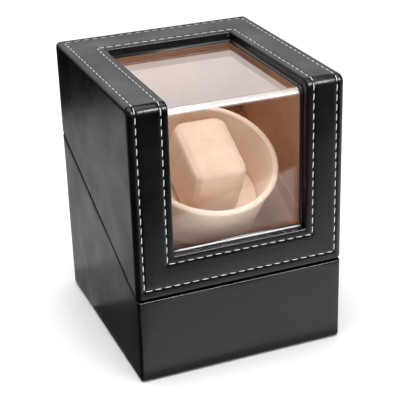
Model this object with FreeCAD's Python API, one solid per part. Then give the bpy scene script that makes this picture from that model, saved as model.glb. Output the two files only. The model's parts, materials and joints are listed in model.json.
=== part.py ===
import FreeCAD, Part
import math
import os

# Watch winder box: a wedge-shaped leatherette base with the drive inside, a hinged lid with a
# bent clear window, and a tilted motor-driven cup that holds a watch cushion.
# Frame: X to the right, Y to the back, Z up, origin on the resting face under the box's centre.
# All sizes are millimetres.

V = FreeCAD.Vector

# ---- Driving dimensions --------------------------------------------------------------------

BASE_WIDTH = 128.0
LID_OVERHANG = 1.0          # the lid stands this far proud of each side of the base
DEPTH = 138.0
HEIGHT = 170.0
SEAM_FRONT_Z = 53.5         # top of the base at its front face
SEAM_BACK_Z = 110.5         # top of the base at its back face
SEAM_GAP = 1.5              # open line between base and lid, measured upright

WRAP = 1.0                  # leatherette
WALL_BOARD = 6.0            # side, back and base front boards
FRAME_BOARD = 5.4           # boards round the window
LINING = 1.0                # suede-covered card in the base
LID_LINING = 0.7            # thinner card in the lid, clear of the base's lip
SEAM_LIP = 3.0              # the base's lining stands this far above its rim, inside the lid
LIP_CLEARANCE = 0.3
FELT = 1.0                  # felt under the box
BASE_EDGE_R = 1.5
LID_EDGE_R = 2.5
LID_FRONT_R = 5.0           # long rounded edge between the lid's top and front

WINDOW_SIDE_BAR = 22.7      # leather bar beside the window
WINDOW_LOW_BAR = 22.5       # leather bar under the window
WINDOW_BACK_BAR = 28.5      # leather bar behind the window
PANE = 2.0
PANE_BEND_R = 4.0
PANE_MARGIN = 8.5           # hidden edge of the pane, glued behind the boards
RETAINER = 1.2
RETAINER_REVEAL = 4.0       # the retainer's opening is this much larger than the window

TILT = 28.5                 # rotor axis, leaning forward from upright, degrees
RIM_Z = 113.5               # height of the cup's rim centre
CUP_R = 43.5
CUP_ROLL_R = 1.9            # rolled rim
CUP_DEPTH = 40.0
CUP_FLOOR = 3.0
CUP_TAPER = 3.3             # the cup is this much narrower at its floor
CUP_PANE_CLEARANCE = 1.9

CUSHION_WIDTH = 38.0
CUSHION_LENGTH = 50.0
CUSHION_PROUD = 13.0        # the cushion stands this far above the rim
CUSHION_CORNER_R = 9.0
CUSHION_TOP_R = 6.0
FLOOR_PAD = 3.0
SOFT_CLEARANCE = 0.3

HUB_R = 16.0
HUB = 3.2
SHAFT_R = 3.0
RUNNING_CLEARANCE = 0.05
MOVING_GAP = 0.8
DECK_BOARD = 4.0
BUSH_FLANGE = 1.0
BUSH_FLANGE_R = 8.0
BUSH_R = 5.0

GEAR_MODULE = 0.8
GEAR_TEETH = 60
PINION_TEETH = 12
GEAR_WIDTH = 6.0
GEAR_ADDENDUM = 0.8         # in modules, stubbed so that the small pinion runs free
GEAR_DEDENDUM = 1.2
GEAR_BACKLASH = 0.14
GEAR_DROP = 3.0             # gap between deck and gear
PRESSURE_ANGLE = math.radians(20.0)

MOTOR_R = 13.0
MOTOR_LENGTH = 22.0
MOTOR_SHAFT_R = 1.0
MOTOR_BOSS_R = 4.0
MOTOR_PLATE = 1.5
MOTOR_PLATE_DROP = 4.0      # gap between gear and plate
STANDOFF_R = 3.0
LEAD_R = 0.5
LEAD_UP = 22.2              # leads meet the circuit board this far above the tray's low side

TRAY_WIDTH = 56.0           # control tray let into the back wall
TRAY_HEIGHT = 32.0
TRAY_LOW_Z = 20.0
TRAY_WALL = 1.5
TRAY_STEP = 1.0             # tray floor stands this far in from the back wall
CONTROL_Z = 36.0
KNOB_X = -13.0
KNOB_R = 7.0
KNOB_HEIGHT = 5.4
KNOB_FLUTES = 16
JACK_X = 13.0
JACK_R = 4.0
JACK_BORE_R = 2.75
JACK_PIN_R = 1.0
BOARD_BACK = 8.4            # circuit board stands this far inside the tray
BOARD = 1.6

HINGE_X = 34.0
HINGE_WIDTH = 22.0
HINGE_LEAF = 0.8
HINGE_LEAF_HEIGHT = 14.0
HINGE_BARREL_R = 1.8
HINGE_PIN_R = 0.9
KNUCKLE_GAP = 0.12

BLOCK = 11.0                # corner blocks in the base
BLOCK_HEIGHT = 24.0
BOTTOM_BOARD = 4.0
MAGNET_R = 2.0
MAGNET_HEIGHT = 3.0
MAGNET_X = 46.0
BUMPER_R = 2.4
BUMPER_HEIGHT = 1.2

# ---- Places worked out from them -----------------------------------------------------------

FRONT_Y = -DEPTH / 2
BACK_Y = DEPTH / 2
WALL = WRAP + WALL_BOARD
BASE_HALF = BASE_WIDTH / 2
LID_HALF = BASE_HALF + LID_OVERHANG
BASE_IN_X = BASE_HALF - WALL
LID_IN_X = LID_HALF - WALL
IN_FRONT_Y = FRONT_Y + WALL
IN_BACK_Y = BACK_Y - WALL
FRAME_IN_Y = FRONT_Y + WRAP + FRAME_BOARD
FRAME_IN_Z = HEIGHT - WRAP - FRAME_BOARD
SEAM_ANGLE = math.atan((SEAM_BACK_Z - SEAM_FRONT_Z) / DEPTH)

WINDOW_HALF = LID_HALF - WINDOW_SIDE_BAR
WINDOW_LOW_Z = SEAM_FRONT_Z + SEAM_GAP + WINDOW_LOW_BAR
WINDOW_BACK_Y = BACK_Y - WINDOW_BACK_BAR

TILT_RAD = math.radians(TILT)
RIM_Y = FRAME_IN_Y + PANE + CUP_PANE_CLEARANCE + CUP_R * math.cos(TILT_RAD)

# Heights along the rotor axis, counted from the cup's rim plane
CUP_FLOOR_W = -CUP_DEPTH
HUB_LOW_W = CUP_FLOOR_W - HUB
BUSH_TOP_W = HUB_LOW_W - MOVING_GAP
DECK_TOP_W = BUSH_TOP_W - BUSH_FLANGE
DECK_LOW_W = DECK_TOP_W - DECK_BOARD
GEAR_TOP_W = DECK_LOW_W - GEAR_DROP
GEAR_LOW_W = GEAR_TOP_W - GEAR_WIDTH
PLATE_TOP_W = GEAR_LOW_W - MOTOR_PLATE_DROP
PLATE_LOW_W = PLATE_TOP_W - MOTOR_PLATE
GEAR_CENTRES = GEAR_MODULE * (GEAR_TEETH + PINION_TEETH) / 2
GEAR_TIP_R = GEAR_MODULE * (GEAR_TEETH / 2 + GEAR_ADDENDUM)

HINGE_Y = BACK_Y + HINGE_BARREL_R
HINGE_Z = SEAM_BACK_Z + SEAM_GAP / 2
TRAY_FLOOR_Y = BACK_Y - WALL - TRAY_STEP    # inner side of the tray's floor
TRAY_FACE_Y = TRAY_FLOOR_Y + TRAY_WALL      # outer side of the tray's floor
BOARD_Y = TRAY_FLOOR_Y - BOARD_BACK         # face of the circuit board towards the tray

BIG = 400.0


# ---- Helpers -------------------------------------------------------------------------------

def box(x0, x1, y0, y1, z0, z1):
    """A box between two corners."""
    return Part.makeBox(x1 - x0, y1 - y0, z1 - z0, V(x0, y0, z0))


def rod(radius, start, end):
    """A round bar from one point to another."""
    along = end - start
    return Part.makeCylinder(radius, along.Length, start, along)


def tilted(shape):
    """Moves a shape from the rotor's own frame (Z along its axis, origin in the rim) to the box."""
    turn = FreeCAD.Rotation(V(1, 0, 0), TILT)
    placed = shape.copy()
    placed.transformShape(FreeCAD.Placement(V(0, RIM_Y, RIM_Z), turn).toMatrix(), True)
    return placed


def group(shapes):
    """Several separate solids that share one node."""
    return Part.makeCompound(shapes)


def cut_all(shape, tools):
    """The shape with every tool taken out of it."""
    for tool in tools:
        shape = shape.cut(tool)
    return shape


def prism(outline, half_width):
    """A (y, z) outline of straight edges, extruded along X about the middle."""
    points = [V(-half_width, y, z) for y, z in outline]
    face = Part.Face(Part.makePolygon(points + points[:1]))
    return face.extrude(V(2 * half_width, 0, 0))


def softened(shape, radius, chosen):
    """Rounds the edges whose middle point passes the test."""
    edges = [e for e in shape.Edges if chosen(e.valueAt((e.FirstParameter + e.LastParameter) / 2))]
    return shape.makeFillet(radius, edges)


def seam_z(y):
    """Height of the base's sloping top edge."""
    return SEAM_FRONT_Z + (y - FRONT_Y) * math.tan(SEAM_ANGLE)


def screw(head_r, head_h, shank_r, shank_l):
    """A screw pointing down -Z with the underside of its head at the origin."""
    slot = box(-head_r, head_r, -0.25, 0.25, head_h * 0.6, head_h)
    head = Part.makeCylinder(head_r, head_h).cut(slot)
    return head.fuse(rod(shank_r, V(0, 0, 0), V(0, 0, -shank_l))).removeSplitter()


def screw_space(head_r, head_h, shank_r, shank_l):
    """The room that such a screw takes."""
    shank = rod(shank_r, V(0, 0, 0), V(0, 0, -shank_l))
    return Part.makeCylinder(head_r, head_h).fuse(shank)


def placed_at(shape, points, direction):
    """Copies of a shape with its +Z turned to a direction, at each point."""
    turn = FreeCAD.Rotation(V(0, 0, 1), direction)
    copies = []
    for point in points:
        copy = shape.copy()
        copy.transformShape(FreeCAD.Placement(point, turn).toMatrix(), True)
        copies.append(copy)
    return copies


def bent_sheet(half_width, offset, thickness, low_z, back_y):
    """A sheet that lies behind the lid's frame boards: up the front, round a bend, along the top."""
    y0 = FRAME_IN_Y + offset
    z0 = FRAME_IN_Z - offset
    outer_r = PANE_BEND_R - offset
    inner_r = max(outer_r - thickness, 0.3)
    corner = V(0, y0 + outer_r, z0 - outer_r)
    lean = math.sqrt(0.5)
    x = V(-half_width, 0, 0)
    inner = V(0, y0 + thickness + inner_r, z0 - thickness - inner_r)
    path = [
        Part.makeLine(x + V(0, y0, low_z), x + V(0, y0, corner.z)),
        Part.Arc(x + V(0, y0, corner.z),
                 x + corner + V(0, -outer_r * lean, outer_r * lean),
                 x + V(0, corner.y, z0)).toShape(),
        Part.makeLine(x + V(0, corner.y, z0), x + V(0, back_y, z0)),
        Part.makeLine(x + V(0, back_y, z0), x + V(0, back_y, z0 - thickness)),
        Part.makeLine(x + V(0, back_y, z0 - thickness), x + V(0, inner.y, z0 - thickness)),
        Part.Arc(x + V(0, inner.y, z0 - thickness),
                 x + inner + V(0, -inner_r * lean, inner_r * lean),
                 x + V(0, y0 + thickness, inner.z)).toShape(),
        Part.makeLine(x + V(0, y0 + thickness, inner.z), x + V(0, y0 + thickness, low_z)),
        Part.makeLine(x + V(0, y0 + thickness, low_z), x + V(0, y0, low_z)),
    ]
    return Part.Face(Part.Wire(path)).extrude(V(2 * half_width, 0, 0))


def spur_gear(teeth, width, bore_r, phase):
    """A spur gear about +Z, standing on Z = 0, with a tooth centred at the phase angle."""
    pitch_r = GEAR_MODULE * teeth / 2
    base_r = pitch_r * math.cos(PRESSURE_ANGLE)
    tip_r = pitch_r + GEAR_ADDENDUM * GEAR_MODULE
    root_r = pitch_r - GEAR_DEDENDUM * GEAR_MODULE
    start_r = max(base_r, root_r + 0.05)

    def involute(angle):
        return math.tan(angle) - angle

    def half_angle(radius):
        swing = involute(math.acos(min(1.0, base_r / radius)))
        full = math.pi / (2 * teeth) - GEAR_BACKLASH / (2 * pitch_r)
        return full + involute(PRESSURE_ANGLE) - swing

    flank = [(root_r, half_angle(start_r) * 1.05)]
    for share in (0.0, 0.5, 1.0):
        radius = start_r + (tip_r - start_r) * share
        flank.append((radius, half_angle(radius)))
    points = []
    for tooth in range(teeth):
        middle = phase + 2 * math.pi * tooth / teeth
        for radius, half in flank:
            points.append(V(radius * math.cos(middle - half), radius * math.sin(middle - half), 0))
        for radius, half in reversed(flank):
            points.append(V(radius * math.cos(middle + half), radius * math.sin(middle + half), 0))
    blank = Part.Face(Part.makePolygon(points + points[:1])).extrude(V(0, 0, width))
    return blank.cut(Part.makeCylinder(bore_r, width))


# ---- Base carcass --------------------------------------------------------------------------

def base_outline(inset):
    """Side outline of the base, set in from the leatherette's outer face."""
    front = FRONT_Y + inset
    back = BACK_Y - inset
    drop = inset / math.cos(SEAM_ANGLE)
    return [(front, FELT), (back, FELT), (back, seam_z(back) - drop), (front, seam_z(front) - drop)]


def base_block(inset):
    """The base as one block, with every edge but the bottom ones rounded."""
    block = prism(base_outline(inset), BASE_HALF - inset)
    return softened(block, BASE_EDGE_R - inset, lambda p: p.z > FELT + 0.1)


hinge_centres = (-HINGE_X, HINGE_X)
base_room = box(-BASE_IN_X, BASE_IN_X, IN_FRONT_Y, IN_BACK_Y, 0, HEIGHT)
tray_hole = box(-TRAY_WIDTH / 2, TRAY_WIDTH / 2, TRAY_FLOOR_Y, BACK_Y + 1,
                TRAY_LOW_Z, TRAY_LOW_Z + TRAY_HEIGHT)

# Hinge screws: two in each leaf, driven from behind
hinge_screw = dict(head_r=1.5, head_h=0.6, shank_r=0.8, shank_l=6.5)
hinge_screw_out = BACK_Y + HINGE_LEAF


def hinge_screw_points(z):
    """Two screw places in each of the two leaves at one height."""
    return [V(c + side * HINGE_WIDTH * 0.3, hinge_screw_out, z)
            for c in hinge_centres for side in (-1, 1)]


leaf_screw_drop = HINGE_LEAF_HEIGHT * 0.6
base_hinge_points = hinge_screw_points(HINGE_Z - leaf_screw_drop)
lid_hinge_points = hinge_screw_points(HINGE_Z + leaf_screw_drop)
base_hinge_screws = placed_at(screw(**hinge_screw), base_hinge_points, V(0, 1, 0))
lid_hinge_screws = placed_at(screw(**hinge_screw), lid_hinge_points, V(0, 1, 0))
base_hinge_space = placed_at(screw_space(**hinge_screw), base_hinge_points, V(0, 1, 0))
lid_hinge_space = placed_at(screw_space(**hinge_screw), lid_hinge_points, V(0, 1, 0))

# Magnets, set flush in the boards' meeting edges under the wrap
seam_normal = V(0, -math.sin(SEAM_ANGLE), math.cos(SEAM_ANGLE))
base_magnet_y = FRONT_Y + WRAP + WALL_BOARD / 2
lid_magnet_y = FRONT_Y + WRAP + FRAME_BOARD / 2
wrap_drop = WRAP / math.cos(SEAM_ANGLE)
magnet_shift = math.sin(SEAM_ANGLE) * MAGNET_HEIGHT / 2      # keeps the leaning magnets mid-board
base_magnets = []
lid_magnets = []
for x in (-MAGNET_X, MAGNET_X):
    top_y = base_magnet_y - magnet_shift
    top = V(x, top_y, seam_z(top_y) - wrap_drop)
    base_magnets.append(Part.makeCylinder(MAGNET_R, MAGNET_HEIGHT, top, seam_normal * -1))
    low_y = lid_magnet_y + magnet_shift
    low = V(x, low_y, seam_z(low_y) + SEAM_GAP + wrap_drop)
    lid_magnets.append(Part.makeCylinder(MAGNET_R, MAGNET_HEIGHT, low, seam_normal))
base_magnet_holes = [Part.makeCylinder(MAGNET_R, MAGNET_HEIGHT + 1,
                                       m.CenterOfMass - seam_normal * (MAGNET_HEIGHT / 2), seam_normal)
                     for m in base_magnets]
lid_magnet_holes = [Part.makeCylinder(MAGNET_R, MAGNET_HEIGHT + 1,
                                      m.CenterOfMass + seam_normal * (MAGNET_HEIGHT / 2), seam_normal * -1)
                    for m in lid_magnets]

base_core = base_block(WRAP)
base_walls = base_core.cut(base_room)
base_wrap = base_block(0).cut(base_core).cut(base_room).cut(tray_hole)
base_wrap = cut_all(base_wrap, base_hinge_space)
base_front_board = base_walls.common(box(-BIG, BIG, -BIG, IN_FRONT_Y, 0, HEIGHT))
base_front_board = cut_all(base_front_board, base_magnet_holes)
base_back_board = base_walls.common(box(-BIG, BIG, IN_BACK_Y, BIG, 0, HEIGHT))
base_back_board = cut_all(base_back_board.cut(tray_hole), base_hinge_space)
base_left_board = base_walls.common(box(-BIG, -BASE_IN_X, IN_FRONT_Y, IN_BACK_Y, 0, HEIGHT))
base_right_board = base_walls.common(box(BASE_IN_X, BIG, IN_FRONT_Y, IN_BACK_Y, 0, HEIGHT))

# Bottom: a board screwed up into four corner blocks, with felt over it
block_x = BASE_IN_X - BLOCK / 2
block_corners = [(sx * block_x, sy) for sx in (-1, 1)
                 for sy in (IN_FRONT_Y + BLOCK / 2, IN_BACK_Y - BLOCK / 2)]
bottom_top = FELT + BOTTOM_BOARD
bottom_screw = dict(head_r=3.0, head_h=1.6, shank_r=1.5, shank_l=12.0)
bottom_points = [V(x, y, FELT + bottom_screw["head_h"]) for x, y in block_corners]
bottom_screws = placed_at(screw(**bottom_screw), bottom_points, V(0, 0, -1))
bottom_space = placed_at(screw_space(**bottom_screw), bottom_points, V(0, 0, -1))
bottom_cover = box(-BASE_IN_X, BASE_IN_X, IN_FRONT_Y, IN_BACK_Y, FELT, bottom_top)
bottom_cover = cut_all(bottom_cover, bottom_space)
corner_blocks = [cut_all(box(x - BLOCK / 2, x + BLOCK / 2, y - BLOCK / 2, y + BLOCK / 2,
                             bottom_top, bottom_top + BLOCK_HEIGHT), bottom_space)
                 for x, y in block_corners]
felt_inset = 2.0
felt_base = softened(box(-BASE_HALF + felt_inset, BASE_HALF - felt_inset,
                         FRONT_Y + felt_inset, BACK_Y - felt_inset, 0, FELT),
                     3.0, lambda p: abs(p.z - FELT / 2) < 0.01)

# ---- Sloping deck under the cup ------------------------------------------------------------

deck_slab = Part.makeBox(BIG, BIG, DECK_BOARD, V(-BIG / 2, -BIG / 2, DECK_LOW_W))
deck_lining_slab = Part.makeBox(BIG, BIG, LINING, V(-BIG / 2, -BIG / 2, DECK_TOP_W))
bush_hole = Part.makeCylinder(BUSH_R, DECK_BOARD, V(0, 0, DECK_LOW_W))
flange_hole = Part.makeCylinder(BUSH_FLANGE_R + SOFT_CLEARANCE, LINING, V(0, 0, DECK_TOP_W))

gear_reach = GEAR_TIP_R + STANDOFF_R + 2.0
standoff_x = 24.0
standoff_low_v = -math.sqrt(gear_reach ** 2 - standoff_x ** 2)
standoff_high_v = GEAR_CENTRES + MOTOR_R
standoff_places = [(sx * standoff_x, v) for sx in (-1, 1) for v in (standoff_low_v, standoff_high_v)]
deck_screw = dict(head_r=2.6, head_h=1.4, shank_r=1.3, shank_l=6.0)
plate_screw = dict(head_r=2.6, head_h=1.4, shank_r=1.3, shank_l=5.0)
up = V(0, 0, 1)
down = V(0, 0, -1)
deck_points = [V(x, v, DECK_TOP_W - deck_screw["head_h"]) for x, v in standoff_places]
plate_points = [V(x, v, PLATE_LOW_W) for x, v in standoff_places]
deck_screws = placed_at(screw(**deck_screw), deck_points, up)
deck_screw_space = placed_at(screw_space(**deck_screw), deck_points, up)
plate_screws = placed_at(screw(**plate_screw), plate_points, down)
plate_screw_space = placed_at(screw_space(**plate_screw), plate_points, down)

above_seam = prism([(FRONT_Y, seam_z(FRONT_Y)), (BACK_Y, seam_z(BACK_Y)),
                    (BACK_Y, BIG), (FRONT_Y, BIG)], BIG)
deck_panel = cut_all(deck_slab.cut(bush_hole), deck_screw_space)
deck_panel = tilted(deck_panel).common(base_room).cut(above_seam)
deck_lining = tilted(deck_lining_slab.cut(flange_hole)).common(base_room).cut(above_seam)

cleat = 6.0
cleat_reach = 58.0
deck_cleats = []
for side in (-1, 1):
    inner = side * (BASE_IN_X - cleat)
    outer = side * BASE_IN_X
    strip = box(min(inner, outer), max(inner, outer), -cleat_reach, cleat_reach,
                DECK_LOW_W - cleat, DECK_LOW_W)
    deck_cleats.append(tilted(strip).common(base_room))

lip_x = min(BASE_IN_X, LID_IN_X - LID_LINING - LIP_CLEARANCE)
lip_back_y = IN_BACK_Y - LID_LINING - LIP_CLEARANCE
lining_ring = box(-lip_x, lip_x, IN_FRONT_Y, lip_back_y, 0, HEIGHT).cut(
    box(-lip_x + LINING, lip_x - LINING, IN_FRONT_Y + LINING, lip_back_y - LINING, 0, HEIGHT))
below_deck = tilted(Part.makeBox(BIG, BIG, BIG, V(-BIG / 2, -BIG / 2, DECK_TOP_W + LINING - BIG)))
above_lip = above_seam.copy()
above_lip.translate(V(0, 0, SEAM_LIP))
base_lining = lining_ring.cut(below_deck).cut(above_lip).cut(deck_panel)

lid_bumpers = []
bumper_y = FRONT_Y * 0.75
for x in (-BASE_HALF + WALL / 2, BASE_HALF - WALL / 2):
    foot = V(x, bumper_y, seam_z(bumper_y))
    lid_bumpers.append(Part.makeCylinder(BUMPER_R, BUMPER_HEIGHT, foot, seam_normal))

# ---- Drive under the deck ------------------------------------------------------------------

bush = Part.makeCylinder(BUSH_FLANGE_R, BUSH_FLANGE, V(0, 0, DECK_TOP_W))
bush = bush.fuse(Part.makeCylinder(BUSH_R, DECK_BOARD, V(0, 0, DECK_LOW_W)))
deck_bush = tilted(bush.cut(Part.makeCylinder(SHAFT_R + RUNNING_CLEARANCE, BIG,
                                              V(0, 0, -BIG / 2 + DECK_LOW_W))))
lower_bush_r = SHAFT_R + 1.5
lower_flange = 0.8
lower = Part.makeCylinder(lower_bush_r, MOTOR_PLATE, V(0, 0, PLATE_LOW_W))
lower = lower.fuse(Part.makeCylinder(lower_bush_r + 1.5, lower_flange, V(0, 0, PLATE_TOP_W)))
lower_bush = tilted(lower.cut(Part.makeCylinder(SHAFT_R + RUNNING_CLEARANCE, BIG,
                                                V(0, 0, PLATE_LOW_W - BIG / 2))))

plate_edge = 5.0
motor_screw = dict(head_r=2.0, head_h=1.2, shank_r=1.1, shank_l=5.0)
motor_screw_x = MOTOR_R * 0.65
motor_points = [V(sx * motor_screw_x, GEAR_CENTRES, PLATE_TOP_W) for sx in (-1, 1)]
motor_screws = placed_at(screw(**motor_screw), motor_points, up)
motor_screw_space = placed_at(screw_space(**motor_screw), motor_points, up)
plate = box(-standoff_x - plate_edge, standoff_x + plate_edge,
            standoff_low_v - plate_edge, standoff_high_v + plate_edge, PLATE_LOW_W, PLATE_TOP_W)
plate = softened(plate, plate_edge - 1.0, lambda p: abs(p.z - (PLATE_LOW_W + PLATE_TOP_W) / 2) < 0.01)
plate = plate.cut(Part.makeCylinder(lower_bush_r, MOTOR_PLATE, V(0, 0, PLATE_LOW_W)))
plate = plate.cut(Part.makeCylinder(MOTOR_BOSS_R, MOTOR_PLATE, V(0, GEAR_CENTRES, PLATE_LOW_W)))
motor_plate = tilted(cut_all(plate, motor_screw_space + plate_screw_space))

standoffs = []
for x, v in standoff_places:
    post = Part.makeCylinder(STANDOFF_R, DECK_LOW_W - PLATE_TOP_W, V(x, v, PLATE_TOP_W))
    standoffs.append(tilted(cut_all(post, deck_screw_space + plate_screw_space)))

shaft_end_w = PLATE_LOW_W - 6.0
motor_body = Part.makeCylinder(MOTOR_R, MOTOR_LENGTH, V(0, GEAR_CENTRES, PLATE_LOW_W - MOTOR_LENGTH))
motor_body = softened(motor_body, 1.0, lambda p: p.z < PLATE_LOW_W - MOTOR_LENGTH + 0.1)
motor_body = motor_body.fuse(Part.makeCylinder(MOTOR_BOSS_R, MOTOR_PLATE,
                                               V(0, GEAR_CENTRES, PLATE_LOW_W)))
motor_body = motor_body.cut(Part.makeCylinder(MOTOR_SHAFT_R + RUNNING_CLEARANCE, BIG,
                                              V(0, GEAR_CENTRES, shaft_end_w - 0.5)))
motor = tilted(cut_all(motor_body, motor_screw_space))
motor_shaft = tilted(Part.makeCylinder(MOTOR_SHAFT_R, GEAR_TOP_W + 0.5 - shaft_end_w,
                                       V(0, GEAR_CENTRES, shaft_end_w)))
pinion = spur_gear(PINION_TEETH, GEAR_WIDTH, MOTOR_SHAFT_R,
                   math.pi / PINION_TEETH - math.pi / 2)
pinion.translate(V(0, GEAR_CENTRES, GEAR_LOW_W))
motor_pinion = tilted(pinion)

lead_x = 2.0
motor_end = tilted(Part.Vertex(V(0, GEAR_CENTRES, PLATE_LOW_W - MOTOR_LENGTH))).Point
lead_run = V(0, BOARD_Y - BOARD, TRAY_LOW_Z + LEAD_UP).sub(motor_end)
motor_leads = []
beyond_board = box(-BIG, BIG, BOARD_Y - BOARD, BIG, -BIG, BIG)
for side in (-1, 1):
    lead = Part.makeCylinder(LEAD_R, lead_run.Length + 6 * LEAD_R,
                             motor_end + V(side * lead_x, 0, 0), lead_run)
    lead = lead.fuse(Part.makeSphere(LEAD_R, motor_end + V(side * lead_x, 0, 0)))
    motor_leads.append(lead.cut(beyond_board).cut(motor))

# ---- Rotor ---------------------------------------------------------------------------------

wall_out_r = CUP_R - CUP_ROLL_R
wall_in_r = wall_out_r - CUP_ROLL_R
roll_w = -CUP_ROLL_R
lean = math.sqrt(0.5)
roll = V(wall_out_r, 0, roll_w)
floor_out_r = wall_out_r - CUP_TAPER
floor_in_r = wall_in_r - CUP_TAPER
cup_floor_top_w = CUP_FLOOR_W + CUP_FLOOR
cup_foot = 2.5
cup_path = [
    Part.makeLine(V(0, 0, CUP_FLOOR_W), V(floor_out_r - cup_foot, 0, CUP_FLOOR_W)),
    Part.makeLine(V(floor_out_r - cup_foot, 0, CUP_FLOOR_W), V(floor_out_r, 0, CUP_FLOOR_W + cup_foot)),
    Part.makeLine(V(floor_out_r, 0, CUP_FLOOR_W + cup_foot), V(wall_out_r, 0, roll_w - CUP_ROLL_R)),
    Part.Arc(V(wall_out_r, 0, roll_w - CUP_ROLL_R), roll + V(CUP_ROLL_R, 0, 0), V(wall_out_r, 0, 0)).toShape(),
    Part.Arc(V(wall_out_r, 0, 0), roll + V(-CUP_ROLL_R * lean, 0, CUP_ROLL_R * lean),
             V(wall_in_r, 0, roll_w)).toShape(),
    Part.makeLine(V(wall_in_r, 0, roll_w), V(floor_in_r, 0, cup_floor_top_w)),
    Part.makeLine(V(floor_in_r, 0, cup_floor_top_w), V(0, 0, cup_floor_top_w)),
    Part.makeLine(V(0, 0, cup_floor_top_w), V(0, 0, CUP_FLOOR_W)),
]
cup_solid = Part.Face(Part.Wire(cup_path)).revolve(V(0, 0, 0), V(0, 0, 1), 360)
cup_screw = dict(head_r=2.6, head_h=1.4, shank_r=1.3, shank_l=CUP_FLOOR + HUB - 0.6)
cup_points = [V(0.62 * HUB_R * math.cos(a), 0.62 * HUB_R * math.sin(a), cup_floor_top_w)
              for a in (math.radians(90 + 120 * k) for k in range(3))]
cup_screws = placed_at(screw(**cup_screw), cup_points, up)
cup_screw_space = placed_at(screw_space(**cup_screw), cup_points, up)
rotor_cup = tilted(cut_all(cup_solid, cup_screw_space))
hub_socket = 2.2
hub = Part.makeCylinder(HUB_R, HUB, V(0, 0, HUB_LOW_W))
hub = hub.cut(Part.makeCylinder(SHAFT_R, hub_socket, V(0, 0, HUB_LOW_W)))
rotor_hub = tilted(cut_all(hub, cup_screw_space))
clip_gap = 0.4
clip_top_w = PLATE_LOW_W - clip_gap
rotor_shaft = tilted(rod(SHAFT_R, V(0, 0, clip_top_w - 2.0), V(0, 0, HUB_LOW_W + hub_socket)))
clip = Part.makeCylinder(SHAFT_R + 2.0, 0.8, V(0, 0, clip_top_w - 0.8))
shaft_clip = tilted(clip.cut(Part.makeCylinder(SHAFT_R, 0.8, V(0, 0, clip_top_w - 0.8))))
gear = spur_gear(GEAR_TEETH, GEAR_WIDTH, SHAFT_R, 0.0)
gear.translate(V(0, 0, GEAR_LOW_W))
rotor_gear = tilted(gear)
pad = Part.makeCylinder(floor_in_r - SOFT_CLEARANCE, FLOOR_PAD, V(0, 0, cup_floor_top_w))
cup_floor_pad = tilted(cut_all(pad, cup_screw_space))

cushion_low_w = cup_floor_top_w + FLOOR_PAD + SOFT_CLEARANCE
pillow = box(-CUSHION_WIDTH / 2, CUSHION_WIDTH / 2, -CUSHION_LENGTH / 2, CUSHION_LENGTH / 2,
             cushion_low_w, CUSHION_PROUD)
pillow_mid_w = (cushion_low_w + CUSHION_PROUD) / 2
pillow = softened(pillow, CUSHION_CORNER_R, lambda p: abs(p.z - pillow_mid_w) < 0.01)
pillow = softened(pillow, CUSHION_TOP_R, lambda p: p.z > CUSHION_PROUD - 0.01)
cushion = tilted(pillow)

# ---- Controls in the back wall -------------------------------------------------------------

def lying(radius, x, y0, y1):
    """A round bar along Y at the height of the controls."""
    return rod(radius, V(x, y0, CONTROL_Z), V(x, y1, CONTROL_Z))


boss_r = 2.4
boss_places = [(sx * (TRAY_WIDTH / 2 - 6.0), z) for sx in (-1, 1)
               for z in (TRAY_LOW_Z + 5.0, TRAY_LOW_Z + TRAY_HEIGHT - 5.0)]
board_screw = dict(head_r=2.0, head_h=1.2, shank_r=1.0, shank_l=5.5)
board_points = [V(x, BOARD_Y - BOARD, z) for x, z in boss_places]
board_screws = placed_at(screw(**board_screw), board_points, V(0, -1, 0))
board_screw_space = placed_at(screw_space(**board_screw), board_points, V(0, -1, 0))
spindle_low_y = BOARD_Y + 1.0
spindle_r = 3.0
knob_low_y = TRAY_FACE_Y + 0.7
knob_top_y = knob_low_y + KNOB_HEIGHT
spindle_top_y = knob_low_y + 3.0

tray = box(-TRAY_WIDTH / 2, TRAY_WIDTH / 2, TRAY_FLOOR_Y, BACK_Y, TRAY_LOW_Z, TRAY_LOW_Z + TRAY_HEIGHT)
tray = tray.cut(box(-TRAY_WIDTH / 2 + TRAY_WALL, TRAY_WIDTH / 2 - TRAY_WALL, TRAY_FACE_Y, BACK_Y,
                    TRAY_LOW_Z + TRAY_WALL, TRAY_LOW_Z + TRAY_HEIGHT - TRAY_WALL))
for x, z in boss_places:
    tray = tray.fuse(rod(boss_r, V(x, BOARD_Y, z), V(x, TRAY_FLOOR_Y, z)))
tray = tray.cut(lying(spindle_r + RUNNING_CLEARANCE, KNOB_X, TRAY_FLOOR_Y - 1, TRAY_FACE_Y + 1))
tray = tray.cut(lying(JACK_R, JACK_X, TRAY_FLOOR_Y - 1, TRAY_FACE_Y + 1))
control_tray = cut_all(tray, board_screw_space)

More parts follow.
